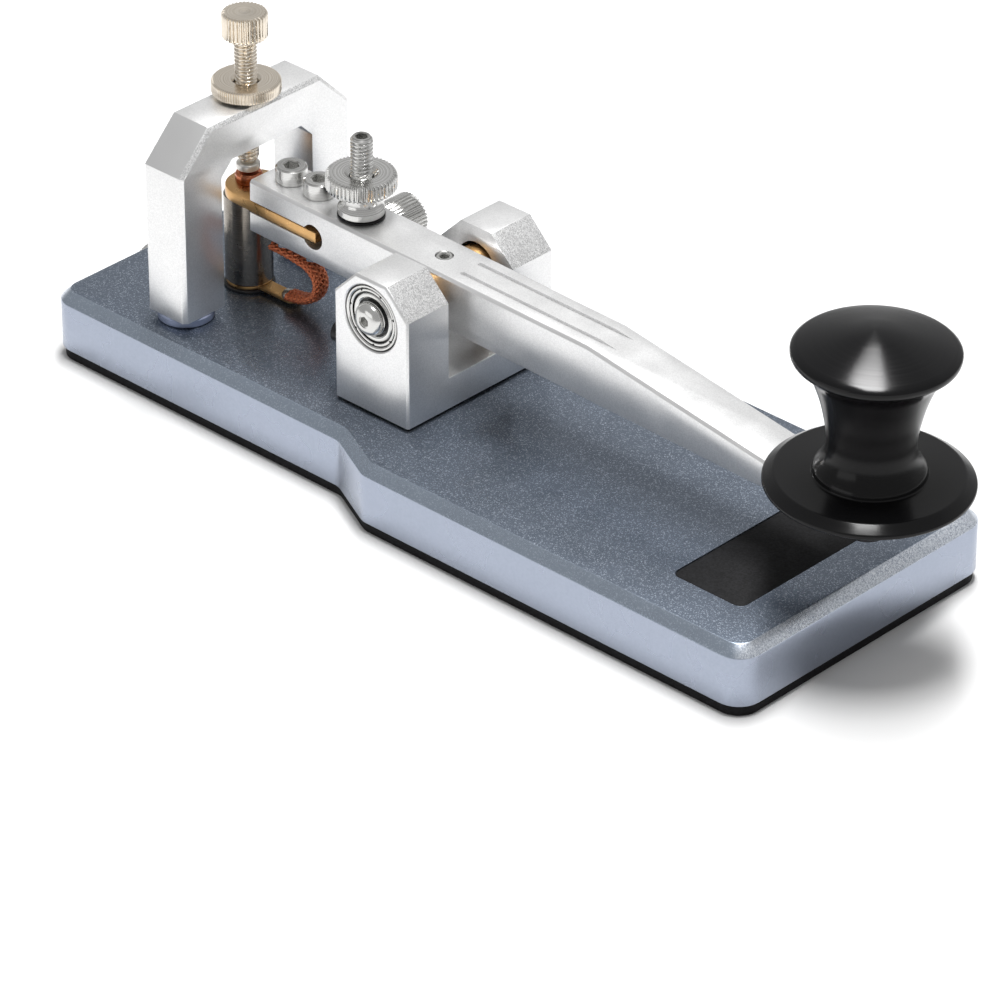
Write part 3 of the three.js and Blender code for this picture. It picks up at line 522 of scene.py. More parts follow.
def make_blasted_aluminium():
    tree, shader = material("blasted_aluminium", "#ededed", 0.87, 0.32)
    # Light and dark specks in the colour: painted glints of the dents.
    fine = blend_colours(tree, speckle(tree, 0.16), colour("#d9d9d9"), colour("#e8e8e8"))
    coarse = blend_colours(tree, speckle(tree, 0.16), colour("#bdbdbd"), colour("#ffffff"))
    # The side slopes get a flat grey: painted shade.
    side_slope_painted_shade = blend_colours(tree, sloping(tree, ASIDE), fine, colour("#d4d4d4"))
    to_shader(tree, shader, "Base Color", blend_colours(tree, sloping(tree, FORTH), side_slope_painted_shade, coarse))
    to_shader(tree, shader, "Roughness", remap(tree, cloud(tree, 6), 0.29, 0.35, 0.3, 0.7))
    relief(tree, shader, cloud(tree, 0.16, 1), 0.004)


make_blasted_aluminium()

# %% [markdown]
# The base is the same metal, blasted and then dyed dark slate in an anodising bath. Its top carries
# sparse bright specks, which are painted glints. Its walls are painted a lighter pale blue than the top,
# and its chamfer lighter too, sparkling at both ends and smooth along the sides: painted light for the
# way each face meets the lamps. One material covers all four, chosen by which way the surface faces.

# %% Slate anodised base
def make_slate():
    tree, shader = material("slate_anodised", "#6d7684", 0.88, 0.28)
    # Sparse bright specks on the top and the side chamfers: painted glints.
    painted_glints = remap(tree, speckle(tree, 0.15), 0, 1, 0.78, 1.0)
    top = blend_colours(tree, painted_glints, colour("#67707d"), colour("#b0b9c6"))
    # The walls are painted lighter and bluer than the top: painted light.
    wall_painted_light = blend_colours(tree, cloud(tree, 0.5), colour("#969ead"), colour("#a2a9b8"))
    # The end chamfers are painted lightest, with strong specks: painted light and painted glints.
    end_chamfer_painted_light = blend_colours(tree, speckle(tree, 0.16), colour("#a0a8b5"), colour("#e6ebf2"))
    # The side chamfers are painted a little lighter than the top: painted light.
    side_chamfer_painted_light = blend_colours(tree, painted_glints, colour("#8d97a4"), colour("#aab4c1"))
    upward = remap(tree, facing(tree)[UP], 0, 1, 0.8, 0.95)
    body = blend_colours(tree, sloping(tree, ASIDE), blend_colours(tree, upward, wall_painted_light, top), side_chamfer_painted_light)
    to_shader(tree, shader, "Base Color", blend_colours(tree, sloping(tree, FORTH), body, end_chamfer_painted_light))
    to_shader(tree, shader, "Roughness", remap(tree, cloud(tree, 9), 0.25, 0.31, 0.3, 0.7))
    relief(tree, shader, cloud(tree, 0.16, 1), 0.005)


make_slate()

# %% [markdown]
# On turned metal the tool leaves rings round the axis, finer than a hair. Each turned piece carries an
# attribute with every point's distance from its own axis and its height along it, and one noise that
# reads only those two values draws the rings. The rings also stretch the highlights, which is what the
# anisotropic value does on the knob.

# %% Turned metals and the turned knob
def lathe_rings(tree, per_mm):
    noted = add(tree, "Attribute", {"attribute_name": "lathe"})
    place = add(tree, "SeparateXYZ", Vector=noted.outputs["Vector"])
    along = add(tree, "Math", {"operation": "MULTIPLY_ADD"}, _0=place.outputs[1], _1=1.7, _2=place.outputs[0])
    return add(tree, "TexNoise", {"noise_dimensions": "1D"}, W=along.outputs[0], Scale=per_mm,
               Detail=3.0).outputs["Fac"]


def make_turned_metal(name, base, dark, roughness, rings=0.004, metallic=1.0):
    tree, shader = material(name, base, metallic, roughness)
    marks = lathe_rings(tree, 7)
    shade = remap(tree, marks, 0, 1, 0.25, 0.75)
    to_shader(tree, shader, "Base Color", blend_colours(tree, shade, colour(dark), colour(base)))
    worn = remap(tree, cloud(tree, 1.6), roughness * 0.8, roughness * 1.3, 0.3, 0.7)
    to_shader(tree, shader, "Roughness", worn)
    below = relief(tree, shader, marks, rings)
    relief(tree, shader, cloud(tree, 0.3), 0.0015, Normal=below)


make_turned_metal("bright_steel", "#ebebe9", "#a3a2a0", 0.19)
make_turned_metal("warm_nickel", "#f8f0e4", "#c0b4a2", 0.19)
make_turned_metal("dark_nickel", "#aaa298", "#5d5851", 0.22)
make_turned_metal("copper", "#cf8764", "#8a4429", 0.18)
make_turned_metal("brass", "#dfb682", "#b98e55", 0.3)
make_turned_metal("white_contact", "#f2f0ec", "#cfccc6", 0.35, metallic=0.6)
make_turned_metal("blue_disc", "#a3acc2", "#7f89a3", 0.4, metallic=0.7)
make_turned_metal("black_oxide", "#2c2c2e", "#141416", 0.35, metallic=0.8)
make_turned_metal("black_plastic", "#232426", "#131416", 0.45, rings=0.002, metallic=0.0)


def make_knob_finish():
    tree, shader = material("black_polish", "#030304", 0.0, 0.2, Anisotropic=0.7, Anisotropic_Rotation=0.25,
                            IOR=1.3)
    marks = lathe_rings(tree, 5)
    round_axis = add(tree, "Tangent", {"direction_type": "RADIAL", "axis": "Z"})
    to_shader(tree, shader, "Base Color", blend_colours(tree, marks, colour("#060607"), colour("#0c0c0d")))
    to_shader(tree, shader, "Roughness", remap(tree, marks, 0.18, 0.23, 0.3, 0.7))
    to_shader(tree, shader, "Tangent", round_axis.outputs[0])
    relief(tree, shader, marks, 0.0015)


make_knob_finish()

# %% [markdown]
# The soft and dull finishes are quick: rubber has a fine pebble and hardly any shine, the wire sleeves
# are smooth vinyl, solder is lumpy tin, and the braid is bare copper whose strands have dulled unevenly.

# %% Rubber, vinyl, solder and braid
def shade_between(tree, shader, factor, first, second):
    to_shader(tree, shader, "Base Color", blend_colours(tree, factor, colour(first), colour(second)))


def make_rubber(name, base, light, grain, roughness):
    tree, shader = material(name, base, 0.0, roughness, IOR=1.25)
    shade_between(tree, shader, speckle(tree, grain), base, light)
    to_shader(tree, shader, "Roughness", remap(tree, cloud(tree, 4), roughness - 0.08, roughness + 0.08))
    relief(tree, shader, cloud(tree, grain, 1), 0.03)


make_rubber("black_rubber", "#050506", "#151517", 0.3, 0.7)
make_rubber("red_sleeve", "#9c2020", "#b02a28", 1.5, 0.45)


def make_solder():
    tree, shader = material("solder", "#c4c2bd", 1.0, 0.25)
    shade_between(tree, shader, cloud(tree, 0.8), "#77706a", "#dedcd8")
    relief(tree, shader, cloud(tree, 0.7), 0.12)


def make_braid_copper():
    tree, shader = material("copper_braid", "#c0633f", 0.85, 0.36)
    shade_between(tree, shader, cloud(tree, 0.35), "#96452a", "#e08a62")
    to_shader(tree, shader, "Roughness", remap(tree, cloud(tree, 1.2), 0.3, 0.55, 0.3, 0.7))
    relief(tree, shader, speckle(tree, 0.08), 0.01)


make_solder()
make_braid_copper()
print("finishes:", ", ".join(sorted(materials)))


def note_lathe(piece, foot, axis="Z"):
    """Stores each point's distance from the turning axis and its height, in millimetres."""
    up = AXES[axis][1]
    if not piece.data.attributes.get("lathe"):
        piece.data.attributes.new("lathe", "FLOAT_VECTOR", "POINT")
    values = piece.data.attributes["lathe"].data
    for point in piece.data.vertices:
        arm = (point.co - foot) / MM
        height = arm.dot(up)
        values[point.index].vector = ((arm - up * height).length, height, 0)
    return piece


def turn_out(name, foot, profile, body, slot, *nodes, axis="Z", sides=64):
    """Turns a piece and finishes it."""
    return finish(note_lathe(turned(name, foot, profile, axis, sides), foot, axis), body, slot, *nodes)


# %% [markdown]
# The base is a flat bar that widens towards the knob through two sloping shoulders. It starts as the
# narrow rear half. Its front face is drawn forwards twice, once widening and once straight. The upright
# corners are rounded and the top edge is chamfered. The rubber under it has the same outline, drawn in
# a little, so one function makes both.

# %% Base plate and rubber sheet
BASE = {"length": 163.9, "rear": 50.4, "front": 60.6, "shoulder": (69.8, 80.4), "corner": 4.5,
        "shoulder_radius": 4, "chamfer": 1.8}


def base_bar(name, inset, bottom, top):
    """The base's outline as an upright-sided bar, drawn in by an inset."""
    rear, front = BASE["rear"] / 2 - inset, BASE["front"] / 2 - inset
    start, stop = BASE["shoulder"]
    bar = stock(name, at(inset, -rear, bottom), at(start, rear, top))
    draw_forwards(bar, stop - start)
    bpy.ops.transform.resize(value=(1, front / rear, 1), center_override=at(stop, 0, 0))
    draw_forwards(bar, BASE["length"] - inset - stop)
    done()

    def upright_at(*stations):
        near = lambda point: min(abs(point.x - at(s, 0, 0).x) for s in stations) < MM / 10
        return lambda edge: is_upright(bar, edge, 0.1) and near(ends_of(bar, edge)[0])

    bend = math.atan((front - rear) / (stop - start)) / 2
    edit(bar, "EDGE", upright_at(inset, BASE["length"] - inset))
    bpy.ops.mesh.bevel(offset=(BASE["corner"] - inset) * MM, segments=12, affect="EDGES")
    edit(bar, "EDGE", upright_at(start, stop))
    bpy.ops.mesh.bevel(offset=BASE["shoulder_radius"] * math.tan(bend) * MM, segments=5, affect="EDGES")
    bpy.ops.mesh.select_all(action="SELECT")
    bpy.ops.mesh.dissolve_limited(angle_limit=math.radians(1))
    done()
    return bar


def chamfer_top(bar, width):
    top = max(point.co.z for point in bar.data.vertices)
    edit(bar, "EDGE", lambda edge: min(p.z for p in ends_of(bar, edge)) > top - MM / 100)
    bpy.ops.mesh.bevel(offset=width * MM, segments=1, affect="EDGES")
    done()
    return bar


THICK = (base_high.z - base_low.z) / MM
BRIDGE_X, POST_X, BLOCK_X, MAGNET_X = 23.8, 23.5, 70.2, 50.8
plate = chamfer_top(base_bar("base_plate", 0, -THICK, 0), BASE["chamfer"])
break_edges(plate, 0.14, shortest=0.05)
print("base plate:", round((base_high.x - base_low.x) / MM, 1), "mm long,", round(THICK, 1), "mm thick")

# %% [markdown]
# The base's holes are drilled next: counterbored holes for the five screws from below, a seat for the
# magnet, the recess that holds the pad, and the pocket and channels for the jack and its two wires.

# %% Holes in the base plate
SCREWS = [(BRIDGE_X, -15.5), (BRIDGE_X, 15.5), (BLOCK_X, -12.6), (BLOCK_X, 12.6), (POST_X, 0)]
PAD = {"x": 147.1, "length": 15, "width": 40, "corner": 1.6, "depth": 0.6}


def pad_block(name, gap, low, high):
    half_x, half_y = PAD["length"] / 2 - gap, PAD["width"] / 2 - gap
    block = stock(name, at(PAD["x"] - half_x, -half_y, low), at(PAD["x"] + half_x, half_y, high))
    edit(block, "EDGE", lambda edge: is_upright(block, edge))
    bpy.ops.mesh.bevel(offset=(PAD["corner"] - gap) * MM, segments=6, affect="EDGES")
    done()
    return block


for x, y in SCREWS:
    carve(plate, drill(at(x, y, -THICK / 2), 2.2, THICK + 2, sides=24),
          drill(at(x, y, -THICK), 3.8, 6.4, sides=32))
carve(plate, pad_block("pad_recess", 0, -PAD["depth"], 1), drill(at(MAGNET_X, 0, 0), 4.1, 4.8, sides=48),
      drill(at(0, 0, -6), 3.1, 6, "X"), stock("jack_pocket", at(2.4, -4.7, -THICK - 1), at(16, 4.7, -1.3)),
      stock("channel", at(14.4, -2, -THICK - 1), at(POST_X, 2, -THICK + 3)),
      stock("side_channel", at(17, 0, -THICK - 1), at(21, 14.5, -THICK + 3)))
finish(plate, "base", "slate_anodised", "base_plate", angle=24)

sheet = base_bar("rubber_sheet", 0.5, -THICK - 2.05, -THICK - 0.05)
break_edges(sheet, 0.25, 3, shortest=0.05)
finish(sheet, "base", "black_rubber", "rubber_sheet")

pad = pad_block("inlay_pad", 0.15, -0.55, -0.1)
break_edges(pad, 0.1, shortest=0.05)
finish(pad, "base", "black_rubber", "inlay_pad")

# %% [markdown]
# The bridge is an arch sawn from square bar. Its two top corners are cut off at 45 degrees and its
# outer edges get a wide chamfer before the opening is milled, so the chamfer runs round the outside
# only. The opening's own edges are merely broken.

# %% Contact bridge and its feet
def make_bridge():
    low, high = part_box("bridge")
    bridge = stock("bridge", low, high)
    half, cut = (high.y - low.y) / 2 / MM, 7.1
    top = (high.z - base_high.z) / MM
    for side in (-1, 1):
        saw(bridge, at(BRIDGE_X, side * half, top - cut), (0, side, 1))
    break_edges(bridge, 0.7, 1, lambda a, b: abs(a.x - b.x) < MM / 100 and max(a.z, b.z) > low.z + MM)
    opening = stock("opening", at(10, -10.8, -1), at(40, 10.8, 29.1))
    for side in (-1, 1):
        saw(opening, at(BRIDGE_X, side * 10.8, 26.5), (0, side, 1))
    carve(bridge, opening, drill(at(BRIDGE_X, 0, 32), 2.1, 16))
    for y in (-15.5, 15.5):
        carve(bridge, drill(at(BRIDGE_X, y, 5.5), 2.1, 10, sides=24))
    break_edges(bridge, 0.07, 2, shortest=0.3)
    return finish(bridge, "base", "blasted_aluminium", "bridge", angle=24)


make_bridge()
for name, y in (("bridge_foot_near", -15.5), ("bridge_foot_far", 15.5)):
    turn_out(name, at(BRIDGE_X, y, 0), ring(2.1, 4.9, 0.05, 1.6, edge=0.25), "base", "blue_disc", name)

# %% [markdown]
# The pivot block is a fork: a block with two corners sawn off, a gap milled down its middle for the
# lever, and one stepped bore through both cheeks. Each bearing sits in the wide outer part of the bore
# and rests on the step. The fine chamfer at the bore's mouth guides the bearing in.

# %% Pivot block
def make_pivot_block():
    low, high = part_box("pivot_block")
    block = stock("pivot_block", low, high)
    half, cut = (high.x - low.x) / 2 / MM, 5
    top = (high.z - base_high.z) / MM
    for side in (-1, 1):
        saw(block, at(BLOCK_X + side * half, 0, top - cut), (side, 0, 1))
    break_edges(block, 0.4, 1, lambda a, b: abs(a.y - b.y) < MM / 100 and max(a.z, b.z) > low.z + MM)
    carve(block, stock("gap", at(BLOCK_X - 20, -7.75, 6.3), at(BLOCK_X + 20, 7.75, 40)))
    carve(block, drill(pivot, 4.2, 60, "Y"))
    for side in (-1, 1):
        face = at(BLOCK_X, side * 17.5, 18.4)
        carve(block, drill(face, 6.05, 8.4, "Y", sides=96))
        inner, mouth = 5.75, 6.75
        low_end, high_end = (inner, mouth) if side < 0 else (mouth, inner)
        carve(block, drill(face, low_end, 1, "Y", sides=96, head=high_end))
        carve(block, drill(at(BLOCK_X, side * 12.6, 5), 2.1, 9, sides=24))
        carve(block, drill(at(BLOCK_X - half, side * 13.6, 10.2), 1.6, 12, "X", sides=24))
    break_edges(block, 0.07, 2, shortest=1.2)
    return finish(block, "base", "blasted_aluminium", "pivot_block", angle=24)


make_pivot_block()
# The thin black gasket fills the gap under the block with painted shadow.
low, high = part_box("block_gasket")
gasket = break_edges(stock("block_gasket", low, high), 0.1)
finish(gasket, "base", "black_rubber", "block_gasket")

# %% [markdown]
# The lever is a square bar whose front half is planed down to a thin tongue. It starts as the straight
# rear part. Its front face is drawn forwards to where the slope ends and lowered there, then drawn on to
# the tip, which is fully rounded. One chamfer follows the top edge all the way.

# %% Lever bar
LEVER = {"rear": -41, "front": 98.2, "half": 5, "top": 4.9, "slope": (36.8, 80), "tongue": -0.65}


def lever_blank():
    half, top = LEVER["half"], LEVER["top"]
    start, stop = LEVER["slope"]
    lever = stock("lever", on_lever(LEVER["rear"], -half, -top), on_lever(start, half, top))
    draw_forwards(lever, stop - start)
    edit(lever, "VERT", lambda v: v.co.x > on_lever(stop - 1, 0, 0).x and v.co.z > pivot.z)
    bpy.ops.transform.translate(value=(0, 0, (LEVER["tongue"] - top) * MM))
    draw_forwards(lever, LEVER["front"] - stop)
    done()
    round_end(lever, lambda p: p.x > on_lever(LEVER["front"] - 0.1, 0, 0).x, half - 0.01, 16)
    on_top = lambda p: p.z > pivot.z - 2 * MM
    at_rear = lambda p: p.x < on_lever(LEVER["rear"] + 0.1, 0, 0).x
    return break_edges(lever, 0.5, 1,
                       lambda a, b: on_top(a) and on_top(b) and not (at_rear(a) and at_rear(b)))


lever = lever_blank()
print("lever:", LEVER["front"] - LEVER["rear"], "mm long")

# %% [markdown]
# The holes in the lever come next: the slot for the brass leaf with its round relief hole, the axle
# hole, and the screw holes. The two shallow grooves in its top start behind the set screw. A groove
# milled with a round cutter has round ends.

# %% Slot, holes and grooves in the lever
CLAMPS = (-36, -29.3)
ADJUST_X, KNOB_X, LEAF_Z = -19.4, 93.15, -0.2

carve(lever, stock("slot", on_lever(-45, -8, LEAF_Z - 1.15), on_lever(-26, 8, LEAF_Z + 1.15)),
      drill(on_lever(-26, 0, LEAF_Z), 2.3, 14, "Y"), drill(on_lever(0, 0, 0), 2.05, 14, "Y"),
      drill(on_lever(ADJUST_X, 0, 0), 2.05, 14), drill(on_lever(ADJUST_X, 5, 0.2), 1.6, 8, "Y", sides=32),
      drill(on_lever(0, 0, 4.5), 1.6, 6, sides=32), drill(on_lever(KNOB_X, 0, -3), 2.1, 8, sides=32))
for x in CLAMPS:
    carve(lever, drill(on_lever(x, 0, 0), 1.55, 14, sides=32))
break_edges(lever, 0.07, shortest=1)
GROOVE = {"from": 6.3, "to": 42.2, "aside": 2.1, "half": 0.45, "floor": 4.4}
for y in (-GROOVE["aside"], GROOVE["aside"]):
    rear_corner = on_lever(GROOVE["from"], y - GROOVE["half"], GROOVE["floor"])
    front_corner = on_lever(GROOVE["to"], y + GROOVE["half"], 6)
    carve(lever, stock("groove", rear_corner, front_corner),
          drill(on_lever(GROOVE["from"], y, 5.2), 0.44, 1.62, sides=24))
finish(lever, "lever_assembly", "blasted_aluminium", "lever", angle=24)

# %% [markdown]
# The leaf is a strip of spring brass gripped in the slot. The saw kerf above it closes when the two cap
# screws pull up. Its rear end is round and carries the copper rivet that makes the contact.

# %% Brass leaf and copper rivet
def grain_along(piece):
    """Gives a flat piece the fine straight lines that rolling leaves, running along its length."""
    piece.data.attributes.new("lathe", "FLOAT_VECTOR", "POINT")
    for point in piece.data.vertices:
        piece.data.attributes["lathe"].data[point.index].vector = (point.co.y / MM * 2, point.co.z / MM, 0)
    return piece


leaf = stock("brass_leaf", on_lever(-50, -5, LEAF_Z - 1), on_lever(-25.3, 5, LEAF_Z + 1))
round_end(leaf, lambda p: p.x < on_lever(-49.9, 0, 0).x, 4.99, 20)
break_edges(leaf, 0.18, 2, shortest=0.1)
finish(grain_along(leaf), "lever_assembly", "brass", "brass_leaf")

rivet_foot = on_lever(-46.31, 0, 0)
rivet = turned("contact_rivet", rivet_foot, [
    (0, 0.81), (2.3, 0.81), (2.4, 0.95), (2.4, 2.3), (2.0, 2.7), (0, 2.7)], sides=14)
break_edges(rivet, 0.06, shortest=0.2)
note_lathe(rivet, rivet_foot)
finish(rivet, "lever_assembly", "copper", "contact_rivet", angle=15)

# %% [markdown]
# Cap screws, set screws and nuts are bought in, and they are made alike: a turned body, with a hexagon
# broached into its head. Six-sided stock gives the nuts. The small cone at the mouth of each socket is
# what the key slides down.

# %% Screws with a hexagon socket
def hexagon(place, across, depth, axis="Z"):
    return drill(place, across / math.sqrt(3), depth, axis, sides=6)


def socket(piece, mouth, across, depth, axis="Z"):
    """A hexagon socket with a cone at its mouth. The depth runs from the mouth on both sides."""
    cone = across / math.sqrt(3) + 0.12
    carve(piece, hexagon(mouth, across, 2 * depth, axis))
    return carve(piece, drill(mouth, cone, 0.3, axis, sides=24))


def cap_screw(name, foot, head, height, shank, reach, across, body, slot, axis="Z", sign=1):
    """A cap screw whose head stands on foot and whose shank goes the other way."""
    profile = [(0, -reach), (shank - 0.15, -reach), (shank, 0.15 - reach), (shank, 0), (head - 0.12, 0),
               (head, 0.12), (head, height - 0.28), (head - 0.3, height), (0, height)]
    screw = turned(name, foot, [(r, h * sign) for r, h in profile], axis)
    socket(screw, foot + AXES[axis][1] * height * sign * MM, across, height * 0.6, axis)
    return finish(note_lathe(screw, foot, axis), body, slot, name)


for number, x in enumerate(CLAMPS, 1):
    cap_screw(f"leaf_screw_{number}", on_lever(x, 0, 4.9), 2.75, 3, 1.5, 12.3, 2.5, "lever_assembly",
              "bright_steel")
    nut = hexagon(on_lever(x, 0, -6), 5.5, 2.18)
    nut.name = f"leaf_nut_{number}"
    carve(nut, drill(on_lever(x, 0, -6), 1.51, 4, sides=32))
    break_edges(nut, 0.22, 2, shortest=1)
    finish(nut, "lever_assembly", "bright_steel", f"leaf_nut_{number}")

set_foot = on_lever(0, 0, 2.2)
set_screw = turned("pivot_set_screw", set_foot, [
    (0, 0), (1.3, 0), (1.5, 0.2), (1.5, 2.4), (1.3, 2.6), (0, 2.6)])
socket(set_screw, set_foot + Vector((0, 0, 2.6 * MM)), 1.5, 1.4)
finish(note_lathe(set_screw, set_foot), "lever_assembly", "bright_steel", "pivot_set_screw")
for name, y in (("block_lock_screw_near", -13.6), ("block_lock_screw_far", 13.6)):
    cap_screw(name, at(61.66, y, 10.2), 2.1, 3, 1.4, 4.8, 2, "base", "black_oxide", axis="X", sign=-1)

# %% [markdown]
# Each ball bearing shows an outer ring, a spring ring with small gaps, a steel shield and the inner
# ring. The thin dark circles between them are shade in the gaps, painted by a black disc set behind the
# rings. A round-headed screw closes each end of the axle, and its button covers the inner ring.

# %% Axle, bushes and bearings
turn_out("axle", pivot, [(0, -17.25), (1.9, -17.25), (2, -17.15), (2, 17.15), (1.9, 17.25), (0, 17.25)],
         "lever_assembly", "bright_steel", "axle", axis="Y", sides=48)


def bearing_side(side, word):
    def made(name, *profile, sides=64):
        profile = [(r, y * side) for r, y in profile]
        return note_lathe(turned(name + word, pivot, profile, "Y", sides), pivot, "Y")

    finish(made("bearing_outer_", (5.3, 13.4), (5.4, 13.3), (5.9, 13.3), (5.97, 13.4), (5.93, 17),
                (5.75, 17.3), (5.5, 17.3), (5.3, 17.1), (5.3, 13.4), sides=96),
           "base", "bright_steel", "bearing_outer_" + word)
    finish(made("bearing_shield_", (3.5, 16.6), (4.35, 16.6), (4.35, 16.85), (4.2, 17), (3.75, 17),
                (3.5, 16.8), (3.5, 16.6)),
           "base", "bright_steel", "bearing_shield_" + word)
    # A black disc behind the gaps between the rings: painted shade.
    finish(made("bearing_gap_shade_", (3.05, 16.1), (5.28, 16.1), (5.28, 16.5), (3.05, 16.5), (3.05, 16.1)),
           "base", "black_plastic")
    snap = made("bearing_snap_ring_", (4.65, 16.7), (5.12, 16.7), (5.12, 17.02), (5.04, 17.1),
                (4.75, 17.1), (4.65, 17), (4.65, 16.7))
    for i in range(7):
        turn = 2 * math.pi * (i + 0.3) / 7
        gap = pivot + Vector((math.cos(turn) * 5.05, side * 17, math.sin(turn) * 5.05)) * MM
        carve(snap, drill(gap, 0.24, 2, "Y", sides=12))
    finish(snap, "base", "bright_steel")
    finish(made("bearing_inner_", (2.06, 13.4), (2.9, 13.3), (3, 13.4), (3, 17.2), (2.9, 17.3),
                (2.06, 17.3), (2.06, 13.4)),
           "lever_assembly", "bright_steel", "bearing_inner_" + word)
    finish(made("brass_bush_", (2.06, 5.1), (3.5, 5.08), (3.6, 5.2), (3.6, 13.1), (3.5, 13.22),
                (2.06, 13.22), (2.06, 5.1)),
           "lever_assembly", "brass", "brass_bush_" + word)
    button = made("axle_screw_", (0, 12.4), (1, 12.4), (1, 17.35), (2.9, 17.35), (2.95, 17.45), (2.95, 17.8),
                  (2.86, 18.1), (2.6, 18.5), (2.2, 18.85), (1.75, 19.05), (1.6, 19.1), (0, 19.1))
    socket(button, pivot + Vector((0, side * 19.1, 0)) * MM, 1.7, 1.2, "Y")
    finish(button, "lever_assembly", "bright_steel", "axle_screw_" + word)


bearing_side(-1, "near")
bearing_side(1, "far")

# %% [markdown]
# The contact screw hangs from the bridge: a long threaded shank with a cone at its foot, a silver tip,
# and a coarsely knurled head for the fingers. Below the head, a finely knurled nut locks it against the
# bridge. The nut has a countersunk bore and stands on a thin washer, whose black finish is painted
# shadow for the gap under the nut.

# %% Contact screw, its tip and its lock nut
CONTACT = at(BRIDGE_X, 0, 0)


def knurled_piece(name, foot, profile, rim, depth, ridges, body, slot, *nodes, axis="Z"):
    """A turned piece with a straight knurl pressed into its rim."""
    piece = turned(name, foot, profile, axis, sides=4 * ridges)
    knurl(piece, foot, rim, depth, ridges, axis)
    return finish(note_lathe(piece, foot, axis), body, slot, *nodes, angle=28)


shank = threaded("contact_screw_thread", CONTACT, 1.95, 23.87, 47.75, taper=1.2)
finish(note_lathe(shank, CONTACT), "contact_screw_body", "warm_nickel")
knurled_piece("contact_screw_head", CONTACT, [
    (0, 47.7), (3.6, 47.7), (3.7, 47.75), (3.95, 48), (3.95, 52.05), (3.6, 52.4), (0.5, 52.4), (0, 52.25),
], 3.95, 0.34, 32, "contact_screw_body", "warm_nickel", "contact_screw")
turn_out("contact_tip", CONTACT, [
    (0, 22.52), (1.75, 22.52), (1.95, 22.6), (2.05, 22.8), (2.05, 23.62), (1.85, 23.82), (0, 23.82),
], "contact_feed_body", "white_contact", "contact_tip", sides=48)
# The washer's black finish is painted shadow for the gap under the lock nut.
turn_out("lock_washer", CONTACT, ring(2.1, 4.3, 36.85, 37.25), "lock_washer_body", "black_oxide",
         "lock_washer")
knurled_piece("lock_nut", CONTACT, [
    (2.1, 37.3), (5.7, 37.3), (6, 37.6), (6, 39.4), (5.7, 39.7), (2.6, 39.7), (2.1, 39.25), (2.1, 37.3),
], 6, 0.2, 80, "lock_nut_body", "warm_nickel", "lock_nut")

# %% [markdown]
# On the lever, a threaded rod carries the return magnet at its foot. A thumb nut locks it: a knurled
# rim above a slim polished waist. The screw through the lever's side clamps the rod through a small
# brass plug, so that its thread isn't crushed.

# %% Tension rod, thumb nut, side screw and magnets
ROD = on_lever(ADJUST_X, 0, 0)
rod = threaded("tension_screw", ROD, 1.95, -10.4, 20, taper=0.5)
socket(rod, ROD + Vector((0, 0, 20 * MM)), 2, 2.2)
finish(note_lathe(rod, ROD), "tension_screw_body", "bright_steel", "tension_screw")
turn_out("tension_magnet", ROD, [
    (0, -12.95), (1.85, -12.95), (2, -12.8), (2, -10.6), (1.85, -10.45), (0, -10.45),
], "tension_feed_body", "bright_steel", "tension_magnet")
turn_out("thumb_washer", ROD, ring(2.1, 4.1, 4.95, 5.35), "thumb_washer_body", "black_oxide", "thumb_washer")
knurled_piece("thumb_nut", ROD, [
    (2.1, 5.4), (3.8, 5.4), (4, 5.6), (4, 6.6), (3.85, 6.85), (3.5, 7.15), (3.25, 7.6), (3.1, 8.2), (3.1, 8.8),
    (3.22, 9.3), (3.5, 9.8), (3.9, 10.05), (5.7, 10.1), (6.1, 10.5), (6.1, 12.7), (5.7, 13.1), (2.95, 13.1),
    (2.8, 12.95), (2.4, 12.5), (2.1, 12.3), (2.1, 5.4),
], 6.1, 0.36, 48, "thumb_nut_body", "bright_steel", "thumb_nut")

SIDE = on_lever(ADJUST_X, 0, 0.2)
knurled_piece("side_screw_head", SIDE, [
    (0, 5.35), (3.7, 5.35), (4, 5.65), (4, 12), (3.7, 12.3), (1.2, 12.3), (1, 12.15), (0, 12.15),
], 4, 0.36, 34, "side_screw_body", "bright_steel", "side_screw", axis="Y")
turn_out("side_screw_shank", SIDE, [(0, 3.36), (1.4, 3.36), (1.5, 3.5), (1.5, 5.4), (0, 5.4)],
         "side_screw_body", "bright_steel", axis="Y", sides=32)
turn_out("clamp_tip", SIDE, [(0, 2.3), (1.2, 2.3), (1.3, 2.4), (1.3, 3.2), (1.2, 3.3), (0, 3.3)],
         "side_tip_body", "brass", "clamp_tip", axis="Y", sides=32)
turn_out("base_magnet", at(MAGNET_X, 0, 0), [
    (0, -2.35), (3.85, -2.35), (4, -2.2), (4, 0.4), (3.8, 0.6), (0, 0.6),
], "base", "bright_steel", "base_magnet")

# %% [markdown]
# The post under the contact is where the line comes in. It stands on an insulating washer, over a brass
# tab with a tongue, and a flexible copper braid is soldered to that tongue and runs up to the lever.

# %% Contact post, washer, tab and solder
POST = at(POST_X, 0, 0)
turn_out("post_washer", POST, ring(2.1, 4.45, 0.05, 0.55), "base", "black_plastic", "post_washer")
turn_out("contact_post", POST, [(0, 1.25), (3.95, 1.25), (4.2, 1.5), (4.2, 17.7), (3.85, 18.06), (0, 18.06)],
         "base", "dark_nickel", "contact_post", sides=96)

tongue = stock("solder_tab", at(POST_X, -1.5, 0.6), at(35.3, 1.5, 1.2))
round_end(tongue, lambda p: p.x > at(35.2, 0, 0).x, 1.2, 8)
carve(tongue, drill(at(POST_X, 0, 0.9), 4, 0.6), operation="UNION")
carve(tongue, drill(at(POST_X, 0, 0.9), 2.1, 2, sides=32))
break_edges(tongue, 0.1, shortest=0.1)
finish(grain_along(tongue), "base", "brass", "solder_tab")

